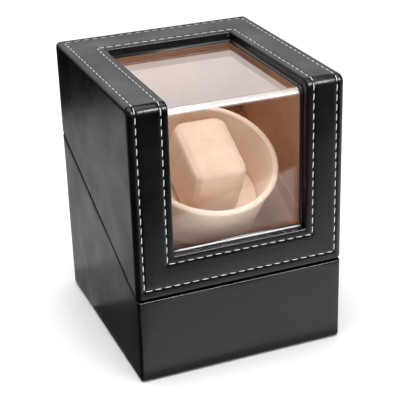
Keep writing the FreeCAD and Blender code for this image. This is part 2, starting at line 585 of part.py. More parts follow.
board = box(-TRAY_WIDTH / 2 + 1, TRAY_WIDTH / 2 - 1, BOARD_Y - BOARD, BOARD_Y,
            TRAY_LOW_Z + 1, TRAY_LOW_Z + TRAY_HEIGHT - 1)
control_board = cut_all(board, board_screw_space)
switch_half = 6.0
rotary_switch = box(KNOB_X - switch_half, KNOB_X + switch_half, BOARD_Y, TRAY_FLOOR_Y,
                    CONTROL_Z - switch_half, CONTROL_Z + switch_half)
rotary_switch = rotary_switch.cut(lying(spindle_r + RUNNING_CLEARANCE, KNOB_X,
                                        spindle_low_y - RUNNING_CLEARANCE, BACK_Y))
mode_spindle = lying(spindle_r, KNOB_X, spindle_low_y, spindle_top_y)
knob = softened(lying(KNOB_R, KNOB_X, knob_low_y, knob_top_y), 0.6, lambda p: p.y > knob_top_y - 0.01)
flute_r = 0.7
for k in range(KNOB_FLUTES):
    angle = 2 * math.pi * (k + 0.5) / KNOB_FLUTES
    place = V(KNOB_X + (KNOB_R + 0.25) * math.cos(angle), knob_low_y - 1,
              CONTROL_Z + (KNOB_R + 0.25) * math.sin(angle))
    knob = knob.cut(rod(flute_r, place, place + V(0, KNOB_HEIGHT + 2, 0)))
pointer = box(KNOB_X - 0.4, KNOB_X + 0.4, knob_top_y - 0.4, knob_top_y + 1,
              CONTROL_Z + 1.5, CONTROL_Z + KNOB_R - 1.2)
mode_knob = knob.cut(lying(spindle_r, KNOB_X, knob_low_y, spindle_top_y)).cut(pointer)

jack_half = 4.8
jack_face_y = TRAY_FACE_Y + 1.0
jack_floor_y = BOARD_Y + 1.0
jack = box(JACK_X - jack_half, JACK_X + jack_half, BOARD_Y, TRAY_FLOOR_Y,
           CONTROL_Z - jack_half, CONTROL_Z + jack_half)
jack = jack.fuse(lying(JACK_R, JACK_X, TRAY_FLOOR_Y, jack_face_y))
dc_jack = jack.cut(lying(JACK_BORE_R, JACK_X, jack_floor_y, BACK_Y))
dc_jack_pin = softened(lying(JACK_PIN_R, JACK_X, jack_floor_y, jack_face_y - 0.8), 0.4,
                       lambda p: p.y > jack_face_y - 0.81)

# ---- Lid -----------------------------------------------------------------------------------

def lid_block(inset):
    """The lid as one block, set in from the leatherette's outer face, edges rounded."""
    front = FRONT_Y + inset
    back = BACK_Y - inset
    rise = SEAM_GAP + inset / math.cos(SEAM_ANGLE)
    top = HEIGHT - inset
    half = LID_HALF - inset
    block = prism([(front, seam_z(front) + rise), (back, seam_z(back) + rise), (back, top), (front, top)],
                  half)
    block = softened(block, LID_FRONT_R - inset, lambda p: p.y < front + 0.01 and p.z > top - 0.01)

    def on_side_or_back(p):
        above_rim = p.z > seam_z(p.y) + rise + 0.01
        return above_rim and (abs(p.x) > half - 0.01 or p.y > back - 0.01)

    return softened(block, LID_EDGE_R - inset, on_side_or_back)


def window_room(grow):
    """The L-shaped window through the lid's top and front, grown by a margin."""
    return box(-WINDOW_HALF - grow, WINDOW_HALF + grow, -BIG, WINDOW_BACK_Y + grow,
               WINDOW_LOW_Z - grow, BIG)


lid_room = box(-LID_IN_X, LID_IN_X, FRAME_IN_Y, IN_BACK_Y, 0, FRAME_IN_Z)
lid_core = lid_block(WRAP).cut(window_room(WRAP))
lid_boards = lid_core.cut(lid_room)
lid_wrap = lid_block(0).cut(lid_core).cut(lid_room).cut(window_room(0))
lid_wrap = cut_all(lid_wrap, lid_hinge_space)
lid_top_frame = lid_boards.common(box(-BIG, BIG, -BIG, BIG, FRAME_IN_Z, BIG))
lid_front_frame = lid_boards.common(box(-BIG, BIG, -BIG, FRAME_IN_Y, 0, FRAME_IN_Z))
lid_front_frame = cut_all(lid_front_frame, lid_magnet_holes)
lid_back_board = lid_boards.common(box(-BIG, BIG, IN_BACK_Y, BIG, 0, FRAME_IN_Z))
lid_back_board = cut_all(lid_back_board, lid_hinge_space)
lid_left_board = lid_boards.common(box(-BIG, -LID_IN_X, FRAME_IN_Y, IN_BACK_Y, 0, FRAME_IN_Z))
lid_right_board = lid_boards.common(box(LID_IN_X, BIG, FRAME_IN_Y, IN_BACK_Y, 0, FRAME_IN_Z))

pane_half = WINDOW_HALF + PANE_MARGIN
pane_back_y = WINDOW_BACK_Y + PANE_MARGIN
window_pane = bent_sheet(pane_half, 0, PANE, WINDOW_LOW_Z - PANE_MARGIN, pane_back_y)

lid_lining_in_x = LID_IN_X - LID_LINING
retainer = bent_sheet(lid_lining_in_x, PANE, RETAINER, WINDOW_LOW_Z - PANE_MARGIN, pane_back_y)
pane_retainer = retainer.cut(window_room(RETAINER_REVEAL))
below_lid = prism([(FRONT_Y, seam_z(FRONT_Y) + SEAM_GAP), (FRONT_Y, -BIG), (BACK_Y, -BIG),
                   (BACK_Y, seam_z(BACK_Y) + SEAM_GAP)], BIG)
lid_lining_left = box(-LID_IN_X, -lid_lining_in_x, FRAME_IN_Y, IN_BACK_Y, 0, FRAME_IN_Z).cut(below_lid)
lid_lining_right = box(lid_lining_in_x, LID_IN_X, FRAME_IN_Y, IN_BACK_Y, 0, FRAME_IN_Z).cut(below_lid)
lid_lining_back = box(-lid_lining_in_x, lid_lining_in_x, IN_BACK_Y - LID_LINING, IN_BACK_Y,
                      0, FRAME_IN_Z).cut(below_lid)
lid_lining_top = box(-lid_lining_in_x, lid_lining_in_x, pane_back_y, IN_BACK_Y - LID_LINING,
                     FRAME_IN_Z - LID_LINING, FRAME_IN_Z)

# ---- Hinges --------------------------------------------------------------------------------

def hinge_leaf(centre, side):
    """One leaf and its knuckles; side is -1 for the base's leaf and 1 for the lid's."""
    half = HINGE_WIDTH / 2
    third = HINGE_WIDTH / 3
    near = HINGE_Z + side * 0.15
    far = HINGE_Z + side * HINGE_LEAF_HEIGHT
    leaf = box(centre - half, centre + half, BACK_Y, BACK_Y + HINGE_LEAF, min(near, far), max(near, far))
    middle = [(centre - third / 2 + KNUCKLE_GAP, centre + third / 2 - KNUCKLE_GAP)]
    ends = [(centre - half, centre - third / 2 - KNUCKLE_GAP), (centre + third / 2 + KNUCKLE_GAP, centre + half)]
    own, other = (ends, middle) if side < 0 else (middle, ends)
    for x0, x1 in other:
        leaf = leaf.cut(rod(HINGE_BARREL_R + 0.2, V(x0 - 2 * KNUCKLE_GAP, HINGE_Y, HINGE_Z),
                            V(x1 + 2 * KNUCKLE_GAP, HINGE_Y, HINGE_Z)))
    for x0, x1 in own:
        leaf = leaf.fuse(rod(HINGE_BARREL_R, V(x0, HINGE_Y, HINGE_Z), V(x1, HINGE_Y, HINGE_Z)))
    bore = HINGE_PIN_R if side < 0 else HINGE_PIN_R + RUNNING_CLEARANCE
    leaf = leaf.cut(rod(bore, V(centre - half - 1, HINGE_Y, HINGE_Z), V(centre + half + 1, HINGE_Y, HINGE_Z)))
    return cut_all(leaf, base_hinge_space if side < 0 else lid_hinge_space)


base_hinge_leaves = [hinge_leaf(c, -1) for c in hinge_centres]
lid_hinge_leaves = [hinge_leaf(c, 1) for c in hinge_centres]
hinge_pins = [rod(HINGE_PIN_R, V(c - HINGE_WIDTH / 2, HINGE_Y, HINGE_Z),
                  V(c + HINGE_WIDTH / 2, HINGE_Y, HINGE_Z)) for c in hinge_centres]

# ---- Nodes ---------------------------------------------------------------------------------

NODES = {
    "felt_base": felt_base,
    "bottom_cover": bottom_cover,
    "bottom_screws": group(bottom_screws),
    "corner_blocks": group(corner_blocks),
    "base_front_board": base_front_board,
    "base_back_board": base_back_board,
    "base_left_board": base_left_board,
    "base_right_board": base_right_board,
    "base_wrap": base_wrap,
    "base_lining": base_lining,
    "base_magnets": group(base_magnets),
    "lid_bumpers": group(lid_bumpers),
    "deck_panel": deck_panel,
    "deck_lining": deck_lining,
    "deck_cleats": group(deck_cleats),
    "deck_screws": group([tilted(s) for s in deck_screws]),
    "deck_bush": deck_bush,
    "motor_plate": motor_plate,
    "plate_standoffs": group(standoffs),
    "plate_screws": group([tilted(s) for s in plate_screws]),
    "lower_bush": lower_bush,
    "motor": motor,
    "motor_screws": group([tilted(s) for s in motor_screws]),
    "motor_leads": group(motor_leads),
    "motor_shaft": motor_shaft,
    "motor_pinion": motor_pinion,
    "control_tray": control_tray,
    "control_board": control_board,
    "board_screws": group(board_screws),
    "rotary_switch": rotary_switch,
    "mode_spindle": mode_spindle,
    "mode_knob": mode_knob,
    "dc_jack": dc_jack,
    "dc_jack_pin": dc_jack_pin,
    "base_hinge_leaves": group(base_hinge_leaves),
    "base_hinge_screws": group(base_hinge_screws),
    "hinge_pins": group(hinge_pins),
    "lid_hinge_leaves": group(lid_hinge_leaves),
    "lid_hinge_screws": group(lid_hinge_screws),
    "lid_top_frame": lid_top_frame,
    "lid_front_frame": lid_front_frame,
    "lid_back_board": lid_back_board,
    "lid_left_board": lid_left_board,
    "lid_right_board": lid_right_board,
    "lid_wrap": lid_wrap,
    "lid_magnets": group(lid_magnets),
    "window_pane": window_pane,
    "pane_retainer": pane_retainer,
    "lid_lining_left": lid_lining_left,
    "lid_lining_right": lid_lining_right,
    "lid_lining_back": lid_lining_back,
    "lid_lining_top": lid_lining_top,
    "rotor_cup": rotor_cup,
    "cup_floor_pad": cup_floor_pad,
    "cup_screws": group([tilted(s) for s in cup_screws]),
    "rotor_hub": rotor_hub,
    "rotor_shaft": rotor_shaft,
    "shaft_clip": shaft_clip,
    "rotor_gear": rotor_gear,
    "cushion": cushion,
}

os.makedirs("parts", exist_ok=True)
for name, shape in NODES.items():
    shape.exportStep(os.path.join("parts", name + ".step"))
    print(name, len(shape.Solids), shape.isValid(), round(shape.Volume, 1))
print(len(NODES), "nodes")
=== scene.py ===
"""Watch winder box: leatherette, suede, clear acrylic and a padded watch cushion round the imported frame."""

import json
import logging
import math
from dataclasses import dataclass, field
from enum import Enum
from typing import Callable, Iterable, Optional, Sequence

import bmesh
import bpy
import numpy as np
from mathutils import Matrix, Vector, noise


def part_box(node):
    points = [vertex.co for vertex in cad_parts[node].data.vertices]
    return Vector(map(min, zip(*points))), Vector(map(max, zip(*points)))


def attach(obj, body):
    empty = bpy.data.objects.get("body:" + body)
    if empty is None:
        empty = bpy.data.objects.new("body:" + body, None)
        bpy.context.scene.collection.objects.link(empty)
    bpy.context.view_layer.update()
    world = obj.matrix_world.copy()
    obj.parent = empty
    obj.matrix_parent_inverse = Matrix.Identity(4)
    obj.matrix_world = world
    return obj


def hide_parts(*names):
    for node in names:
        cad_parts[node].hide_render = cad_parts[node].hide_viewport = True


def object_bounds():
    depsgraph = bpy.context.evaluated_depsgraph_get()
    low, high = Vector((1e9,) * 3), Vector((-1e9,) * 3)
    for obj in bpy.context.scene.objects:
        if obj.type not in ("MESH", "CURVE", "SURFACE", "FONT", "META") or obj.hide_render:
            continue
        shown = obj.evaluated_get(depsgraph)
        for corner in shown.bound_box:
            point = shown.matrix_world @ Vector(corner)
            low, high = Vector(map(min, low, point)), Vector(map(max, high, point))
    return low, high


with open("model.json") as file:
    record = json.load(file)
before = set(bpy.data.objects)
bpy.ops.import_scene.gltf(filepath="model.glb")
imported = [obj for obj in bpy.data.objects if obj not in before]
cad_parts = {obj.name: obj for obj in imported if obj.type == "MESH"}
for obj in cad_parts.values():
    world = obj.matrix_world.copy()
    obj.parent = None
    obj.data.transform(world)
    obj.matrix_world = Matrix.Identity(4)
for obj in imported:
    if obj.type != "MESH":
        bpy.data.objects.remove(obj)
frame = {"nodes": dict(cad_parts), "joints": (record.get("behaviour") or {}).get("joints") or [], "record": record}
CAD_LOW, CAD_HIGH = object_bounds()

MM = 0.001
WELD = 0.01 * MM           # points closer than this are one point
ROLLED_SHARE = 0.6         # a raw edge of leatherette is rolled over this share of its thickness
LOG = logging.getLogger("winder_box")


class Body(Enum):
    """The moving bodies that pieces ride on."""

    BASE = "base"
    LID = "lid"
    CUSHION = "cushion"


# ---- Colour and node helpers ---------------------------------------------------------------


def linear(hex_colour: str) -> tuple[float, float, float, float]:
    """Turns an sRGB hex colour into the linear RGBA that shaders use.

    Args:
        hex_colour: six hex digits, with or without a leading #.

    Returns:
        Linear red, green, blue and an alpha of 1.
    """
    digits = hex_colour.lstrip("#")
    shares = [int(digits[i:i + 2], 16) / 255 for i in (0, 2, 4)]
    r, g, b = (c / 12.92 if c <= 0.04045 else ((c + 0.055) / 1.055) ** 2.4 for c in shares)
    return (r, g, b, 1.0)


def add_node(tree: bpy.types.NodeTree, kind: str, settings: Optional[dict] = None,
             links: Optional[dict] = None) -> bpy.types.Node:
    """Adds one node with its settings and its incoming links.

    Args:
        tree: the node tree to add it to.
        kind: the node's type name.
        settings: values by attribute name, or by input name or number.
        links: output sockets by the input name or number that they feed.

    Returns:
        The new node.
    """
    node = tree.nodes.new(kind)
    for key, value in (settings or {}).items():
        if isinstance(key, str) and hasattr(node, key):
            setattr(node, key, value)
        else:
            node.inputs[key].default_value = value
    for key, socket in (links or {}).items():
        tree.links.new(socket, node.inputs[key])
    return node


def new_material(name: str) -> tuple[bpy.types.Material, bpy.types.NodeTree]:
    """Makes an empty node material.

    Args:
        name: the material's name.

    Returns:
        The material and its node tree.
    """
    material = bpy.data.materials.new(name)
    material.use_nodes = True
    material.node_tree.nodes.clear()
    return material, material.node_tree


def close_material(tree: bpy.types.NodeTree, shader: bpy.types.Node) -> None:
    """Feeds a shader node to a new material output."""
    add_node(tree, "ShaderNodeOutputMaterial", links={"Surface": shader.outputs[0]})


# ---- Finishes ------------------------------------------------------------------------------


@dataclass(frozen=True)
class Leatherette:
    """Calendered PU leatherette: a tight pebble grain under a satin top coat.

    It gives the eye a near-black skin that turns grey where it mirrors the sky at a low angle,
    broken up by the grain.
    """

    name: str
    colour: str = "#020203"
    worn: str = "#070708"
    grain_mm: float = 1.3      # pebble width; real grain is about 0.6 mm, drawn coarser to show
    pore_mm: float = 0.6
    sag_mm: float = 26.0       # slow unevenness of a sheet glued to board
    roughness: float = 0.29
    relief_mm: float = 0.055

    def build(self) -> bpy.types.Material:
        """Builds the material.

        Returns:
            The material.
        """
        material, tree = new_material(self.name)
        place = add_node(tree, "ShaderNodeTexCoord").outputs["Object"]
        slow = add_node(tree, "ShaderNodeTexNoise", {"Scale": 1 / (self.sag_mm * MM), "Detail": 2.0},
                        {"Vector": place})
        pebble = add_node(tree, "ShaderNodeTexVoronoi", {"Scale": 1 / (self.grain_mm * MM),
                                                         "feature": "SMOOTH_F1", "Smoothness": 0.35},
                          {"Vector": place})
        pore = add_node(tree, "ShaderNodeTexNoise", {"Scale": 1 / (self.pore_mm * MM), "Detail": 3.0},
                        {"Vector": place})
        sag = add_node(tree, "ShaderNodeBump", {"Strength": 0.25, "Distance": 0.9 * MM},
                       {"Height": slow.outputs["Fac"]})
        fine = add_node(tree, "ShaderNodeBump", {"Strength": 0.6, "Distance": 0.035 * MM},
                        {"Height": pore.outputs["Fac"], "Normal": sag.outputs["Normal"]})
        grain = add_node(tree, "ShaderNodeBump", {"Strength": 1.0, "Distance": self.relief_mm * MM,
                                                  "invert": True},
                         {"Height": pebble.outputs["Distance"], "Normal": fine.outputs["Normal"]})
        tint = add_node(tree, "ShaderNodeMix", {"data_type": "RGBA", 6: linear(self.colour),
                                                7: linear(self.worn)},
                        {0: slow.outputs["Fac"]})
        shine = add_node(tree, "ShaderNodeMapRange", {"From Min": 0.3, "From Max": 0.7,
                                                      "To Min": self.roughness - 0.05,
                                                      "To Max": self.roughness + 0.07},
                         {"Value": slow.outputs["Fac"]})
        skin = add_node(tree, "ShaderNodeBsdfPrincipled", {"IOR": 1.5, "Specular IOR Level": 0.22},
                        {"Base Color": tint.outputs[2], "Roughness": shine.outputs["Result"],
                         "Normal": grain.outputs["Normal"]})
        close_material(tree, skin)
        return material


@dataclass(frozen=True)
class Suede:
    """Brushed microsuede or flock: a short upright nap that scatters light and catches it at the rim."""

    name: str
    light: str
    dark: str
    nap_mm: float = 0.5        # tufts of nap, drawn coarser than the real 0.1 mm fibres
    cloud_mm: float = 14.0     # patches where the nap lies another way
    sheen: float = 0.35
    relief_mm: float = 0.05

    def build(self) -> bpy.types.Material:
        """Builds the material.

        Returns:
            The material.
        """
        material, tree = new_material(self.name)
        place = add_node(tree, "ShaderNodeTexCoord").outputs["Object"]
        cloud = add_node(tree, "ShaderNodeTexNoise", {"Scale": 1 / (self.cloud_mm * MM), "Detail": 3.0},
                         {"Vector": place})
        nap = add_node(tree, "ShaderNodeTexNoise", {"Scale": 1 / (self.nap_mm * MM), "Detail": 4.0,
                                                    "Roughness": 0.7}, {"Vector": place})
        both = add_node(tree, "ShaderNodeMix", {"data_type": "FLOAT", 0: 0.35},
                        {2: cloud.outputs["Fac"], 3: nap.outputs["Fac"]})
        spread = add_node(tree, "ShaderNodeMapRange", {"From Min": 0.32, "From Max": 0.68},
                          {"Value": both.outputs[0]})
        tint = add_node(tree, "ShaderNodeMix", {"data_type": "RGBA", 6: linear(self.dark),
                                                7: linear(self.light)},
                        {0: spread.outputs["Result"]})
        relief = add_node(tree, "ShaderNodeBump", {"Strength": 0.6, "Distance": self.relief_mm * MM},
                          {"Height": nap.outputs["Fac"]})
        cloth = add_node(tree, "ShaderNodeBsdfPrincipled",
                         {"Roughness": 0.92, "IOR": 1.45, "Specular IOR Level": 0.25,
                          "Sheen Weight": self.sheen, "Sheen Roughness": 0.5,
                          "Sheen Tint": linear(self.light)},
                         {"Base Color": tint.outputs[2], "Normal": relief.outputs["Normal"]})
        close_material(tree, cloth)
        return material


@dataclass(frozen=True)
class BentAcrylic:
    """Cast acrylic sheet, 2 mm, bent over a hot wire: clear and glossy, with a painted white highlight along the
    bend for the light that the bend refracts.
    """

    name: str
    ior: float = 1.49
    bend_highlight: float = 0.38         # share of painted white highlight over the bend, standing in for the light that the bend refracts

    def build(self) -> bpy.types.Material:
        """Builds the material: clear where it faces the eye, mirror-like at a low angle.

        Returns:
            The material.
        """
        material, tree = new_material(self.name)
        back = add_node(tree, "ShaderNodeNewGeometry").outputs["Backfacing"]
        ior = add_node(tree, "ShaderNodeMix", {"data_type": "FLOAT", 2: self.ior, 3: 1 / self.ior},
                       {0: back})
        mirror = add_node(tree, "ShaderNodeFresnel", links={"IOR": ior.outputs[0]})
        clear = add_node(tree, "ShaderNodeBsdfTransparent", {"Color": (0.985, 0.98, 0.975, 1)})
        gloss = add_node(tree, "ShaderNodeBsdfAnisotropic", {"Roughness": 0.02,
                                                             "Color": (1, 1, 1, 1)})
        pane = add_node(tree, "ShaderNodeMixShader", links={0: mirror.outputs[0], 1: clear.outputs[0],
                                                            2: gloss.outputs[0]})
        facing = add_node(tree, "ShaderNodeSeparateXYZ",
                          links={0: add_node(tree, "ShaderNodeTexCoord").outputs["Normal"]})
        both = add_node(tree, "ShaderNodeMath", {"operation": "MULTIPLY"},
                        {0: facing.outputs["Y"], 1: facing.outputs["Z"]})
        size = add_node(tree, "ShaderNodeMath", {"operation": "ABSOLUTE"}, {0: both.outputs[0]})
        # Mask of the bend, found from the normal, where the painted highlight is laid.
        bend = add_node(tree, "ShaderNodeMapRange", {"From Min": 0.05, "From Max": 0.35,
                                                     "To Max": self.bend_highlight}, {"Value": size.outputs[0]})
        # Painted highlight: an off-white layer over the bend stands in for the light that the bent acrylic
        # refracts.
        painted_highlight = add_node(tree, "ShaderNodeBsdfPrincipled", {"Base Color": linear("#f6f4f2"),
                                                           "Roughness": 0.15})
        whole = add_node(tree, "ShaderNodeMixShader", links={0: bend.outputs["Result"],
                                                             1: pane.outputs[0], 2: painted_highlight.outputs[0]})
        close_material(tree, whole)
        return material


@dataclass(frozen=True)
class Metal:
    """A plated, rolled or sintered metal part, with a fine unevenness in its shine."""

    name: str
    colour: str
    roughness: float = 0.28
    grit_mm: float = 0.6

    def build(self) -> bpy.types.Material:
        """Builds the material.

        Returns:
            The material.
        """
        material, tree = new_material(self.name)
        place = add_node(tree, "ShaderNodeTexCoord").outputs["Object"]
        grit = add_node(tree, "ShaderNodeTexNoise", {"Scale": 1 / (self.grit_mm * MM), "Detail": 3.0},
                        {"Vector": place})
        shine = add_node(tree, "ShaderNodeMapRange", {"To Min": self.roughness - 0.08,
                                                      "To Max": self.roughness + 0.08},
                         {"Value": grit.outputs["Fac"]})
        relief = add_node(tree, "ShaderNodeBump", {"Strength": 0.2, "Distance": 0.01 * MM},
                          {"Height": grit.outputs["Fac"]})
        metal = add_node(tree, "ShaderNodeBsdfPrincipled", {"Base Color": linear(self.colour),
                                                            "Metallic": 1.0},
                         {"Roughness": shine.outputs["Result"], "Normal": relief.outputs["Normal"]})
        close_material(tree, metal)
        return material


@dataclass(frozen=True)
class Moulded:
    """An injection-moulded or extruded plastic or rubber with a light spark-eroded texture."""

    name: str
    colour: str
    roughness: float = 0.45
    texture_mm: float = 0.35
    relief_mm: float = 0.02

    def build(self) -> bpy.types.Material:
        """Builds the material.

        Returns:
            The material.
        """
        material, tree = new_material(self.name)
        place = add_node(tree, "ShaderNodeTexCoord").outputs["Object"]
        spark = add_node(tree, "ShaderNodeTexNoise", {"Scale": 1 / (self.texture_mm * MM),
                                                      "Detail": 4.0}, {"Vector": place})
        relief = add_node(tree, "ShaderNodeBump", {"Strength": 0.5, "Distance": self.relief_mm * MM},
                          {"Height": spark.outputs["Fac"]})
        shine = add_node(tree, "ShaderNodeMapRange", {"To Min": self.roughness - 0.06,
                                                      "To Max": self.roughness + 0.06},
                         {"Value": spark.outputs["Fac"]})
        plastic = add_node(tree, "ShaderNodeBsdfPrincipled", {"Base Color": linear(self.colour),
                                                              "IOR": 1.5},
                           {"Roughness": shine.outputs["Result"], "Normal": relief.outputs["Normal"]})
        close_material(tree, plastic)
        return material


@dataclass(frozen=True)
class Fibreboard:
    """Raw MDF: pressed wood fibre, pale brown with darker flecks, and no grain direction."""

    name: str
    light: str = "#b08a5e"
    dark: str = "#8c6a43"
    fibre_mm: float = 0.9

    def build(self) -> bpy.types.Material:
        """Builds the material.

        Returns:
            The material.
        """
        material, tree = new_material(self.name)
        place = add_node(tree, "ShaderNodeTexCoord").outputs["Object"]
        fibre = add_node(tree, "ShaderNodeTexNoise", {"Scale": 1 / (self.fibre_mm * MM), "Detail": 5.0},
                         {"Vector": place})
        tint = add_node(tree, "ShaderNodeMix", {"data_type": "RGBA", 6: linear(self.dark),
                                                7: linear(self.light)}, {0: fibre.outputs["Fac"]})
        relief = add_node(tree, "ShaderNodeBump", {"Strength": 0.4, "Distance": 0.04 * MM},
                          {"Height": fibre.outputs["Fac"]})
        board = add_node(tree, "ShaderNodeBsdfPrincipled", {"Roughness": 0.85, "IOR": 1.45},
                         {"Base Color": tint.outputs[2], "Normal": relief.outputs["Normal"]})
        close_material(tree, board)
        return material


@dataclass(frozen=True)
class SewingThread:
    """Bonded polyester sewing thread: off-white and soft, with the twist of its plies."""

    name: str
    colour: str = "#dddbd6"
    ply_mm: float = 0.5

    def build(self) -> bpy.types.Material:
        """Builds the material.

        Returns:
            The material.
        """
        material, tree = new_material(self.name)
        place = add_node(tree, "ShaderNodeTexCoord").outputs["Object"]
        ply = add_node(tree, "ShaderNodeTexNoise", {"Scale": 1 / (self.ply_mm * MM), "Detail": 2.0},
                       {"Vector": place})
        tint = add_node(tree, "ShaderNodeMix", {"data_type": "RGBA", 6: linear("#c9c8c4"),
                                                7: linear(self.colour)}, {0: ply.outputs["Fac"]})
        relief = add_node(tree, "ShaderNodeBump", {"Strength": 0.5, "Distance": 0.06 * MM},
                          {"Height": ply.outputs["Fac"]})
        thread = add_node(tree, "ShaderNodeBsdfPrincipled", {"Roughness": 0.6, "IOR": 1.5,
                                                             "Sheen Weight": 0.3},
                          {"Base Color": tint.outputs[2], "Normal": relief.outputs["Normal"]})
        close_material(tree, thread)
        return material


# One finish for each of the record's material slots
FINISHES = {
    "black_leatherette": Leatherette("black_leatherette"),
    "board": Fibreboard("fibreboard"),
    "brown_suede": Suede("brown_suede_lining", light="#dcb08f", dark="#c69a78"),
    "cream_flock": Suede("cream_flock_cup", light="#f4dfcd", dark="#ebcfb9", sheen=0.5),
    "cream_suede": Suede("cream_suede_cushion", light="#e6cebc", dark="#d9bca7", sheen=0.5,
                         cloud_mm=9.0),
    "clear_acrylic": BentAcrylic("clear_bent_acrylic"),
    "black_felt": Suede("black_felt", light="#1b1b1b", dark="#0c0c0c", nap_mm=0.8, sheen=0.2),
    "zinc_steel": Metal("zinc_plated_steel", "#b9babb", 0.34),
    "nickel_steel": Metal("nickel_plated_steel", "#c9c4b8", 0.2),
    "motor_can": Metal("drawn_steel_can", "#a8a9ab", 0.3),
    "clear_rubber": Moulded("clear_bumper", "#c9cac8", 0.3),
    "bronze": Metal("sintered_bronze", "#a9793f", 0.45, 0.3),
    "brass": Metal("turned_brass", "#cfae62", 0.22),
    "white_acetal": Moulded("white_acetal", "#e4e2da", 0.35),
    "black_abs": Moulded("black_abs", "#101011", 0.32),
    "grey_nylon": Moulded("grey_nylon", "#8a8a8a", 0.5),
    "green_laminate": Moulded("green_circuit_laminate", "#0f4a2a", 0.3),
    "lead_insulation": Moulded("red_lead_insulation", "#8e1414", 0.4),
}


# Finishes of added pieces that the record has no slot for
THREAD = SewingThread("white_sewing_thread")
FOOT_STRIP = Moulded("frosted_acrylic_strip", "#b9b9b8", 0.18)


class FinishShelf:
    """Builds each finish once and hands it out by the record's slot name."""

    def __init__(self) -> None:
        """Starts with nothing built."""
        self._built: dict[str, bpy.types.Material] = {}

    def get(self, slot: str) -> bpy.types.Material:
        """Hands out the material of a slot, building it the first time.

        Args:
            slot: the record's material slot.

        Returns:
            The slot's material.
        """
        if slot not in self._built:
            self._built[slot] = FINISHES[slot].build()
        return self._built[slot]


# ---- Mesh helpers --------------------------------------------------------------------------


def make_object(name: str, verts: Sequence, faces: Sequence, smooth: bool = True) -> bpy.types.Object:
    """Makes a mesh object and links it to the scene.

    Args:
        name: the piece's name.
        verts: corner positions in metres.
        faces: corner numbers of each face.
        smooth: whether its faces are shaded smooth.

    Returns:
        The new object.
    """
    mesh = bpy.data.meshes.new(name)
    mesh.from_pydata([tuple(v) for v in verts], [], [tuple(f) for f in faces])
    mesh.validate()
    mesh.polygons.foreach_set("use_smooth", [smooth] * len(mesh.polygons))
    obj = bpy.data.objects.new(name, mesh)
    bpy.context.scene.collection.objects.link(obj)
    return obj


def weld(obj: bpy.types.Object) -> None:
    """Joins points of a mesh that lie on each other.

    Args:
        obj: the mesh object.
    """
    form = bmesh.new()
    form.from_mesh(obj.data)
    bmesh.ops.remove_doubles(form, verts=form.verts, dist=WELD)
    form.to_mesh(obj.data)
    form.free()


def apply_modifiers(obj: bpy.types.Object) -> None:
    """Replaces an object's mesh by what its modifiers make of it.

    Args:
        obj: the mesh object.
    """
    graph = bpy.context.evaluated_depsgraph_get()
    mesh = bpy.data.meshes.new_from_object(obj.evaluated_get(graph))
    obj.modifiers.clear()
    obj.data = mesh


def between_rings(low: Sequence[int], high: Sequence[int]) -> list[tuple[int, ...]]:
    """Lists the faces between two closed rings with the same number of points.

    Args:
        low: numbers of the first ring's points.
        high: numbers of the second ring's points.

    Returns:
        One face for each pair of neighbours.
    """
    after = [(k + 1) % len(low) for k in range(len(low))]
    return [(low[k], low[n], high[n], high[k]) for k, n in enumerate(after)]


def tube_faces(first: int, rings: int, sides: int) -> list[tuple[int, ...]]:
    """Lists the faces of a closed tube whose rings of points follow each other.

    Args:
        first: number of the tube's first point.
        rings: how many rings it has.
        sides: how many points a ring has.

    Returns:
        Its walls, then its two ends.
    """
    loops = [range(first + k * sides, first + (k + 1) * sides) for k in range(rings)]
    faces = [face for low, high in zip(loops, loops[1:]) for face in between_rings(low, high)]
    return faces + [tuple(reversed(loops[0])), tuple(loops[-1])]


def quarter_turn(parts: int) -> list[float]:
    """Even angles from 0 to a right angle, both among them."""
    return [math.pi / 2 * k / parts for k in range(parts + 1)]


def thicken(obj: bpy.types.Object, thickness: float) -> None:
    """Gives a sheet its thickness on the inner side, and rolls its raw edges.

    Args:
        obj: the sheet, one face thick, with its faces turned outward.
        thickness: how thick it becomes.
    """
    solid = obj.modifiers.new("thickness", "SOLIDIFY")
    solid.thickness = thickness
    solid.offset = -1.0
    roll = obj.modifiers.new("roll", "BEVEL")
    roll.width = ROLLED_SHARE * thickness
    roll.segments = 3
    roll.limit_method = "ANGLE"
    roll.angle_limit = math.radians(60)
    apply_modifiers(obj)


def finish_piece(obj: bpy.types.Object, body: Body, slot: str, shelf: FinishShelf,
                 replaces: Iterable[str] = (),
                 finish: Optional[bpy.types.Material] = None) -> bpy.types.Object:
    """Dresses a piece, sets it on its body and hides the CAD nodes that it stands for.

    Args:
        obj: the piece.
        body: the body that it rides on.
        slot: the record's material slot.
        shelf: where its material comes from.
        replaces: names of the CAD nodes that it stands for.
        finish: its own material, where the record has no slot for it.

    Returns:
        The same object.
    """
    obj.data.materials.clear()
    obj.data.materials.append(finish or shelf.get(slot))
    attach(obj, body.value)
    if replaces:
        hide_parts(*replaces)
    LOG.info("%s: %d faces on %s", obj.name, len(obj.data.polygons), body.value)
    return obj


# ---- Bent sheets ---------------------------------------------------------------------------


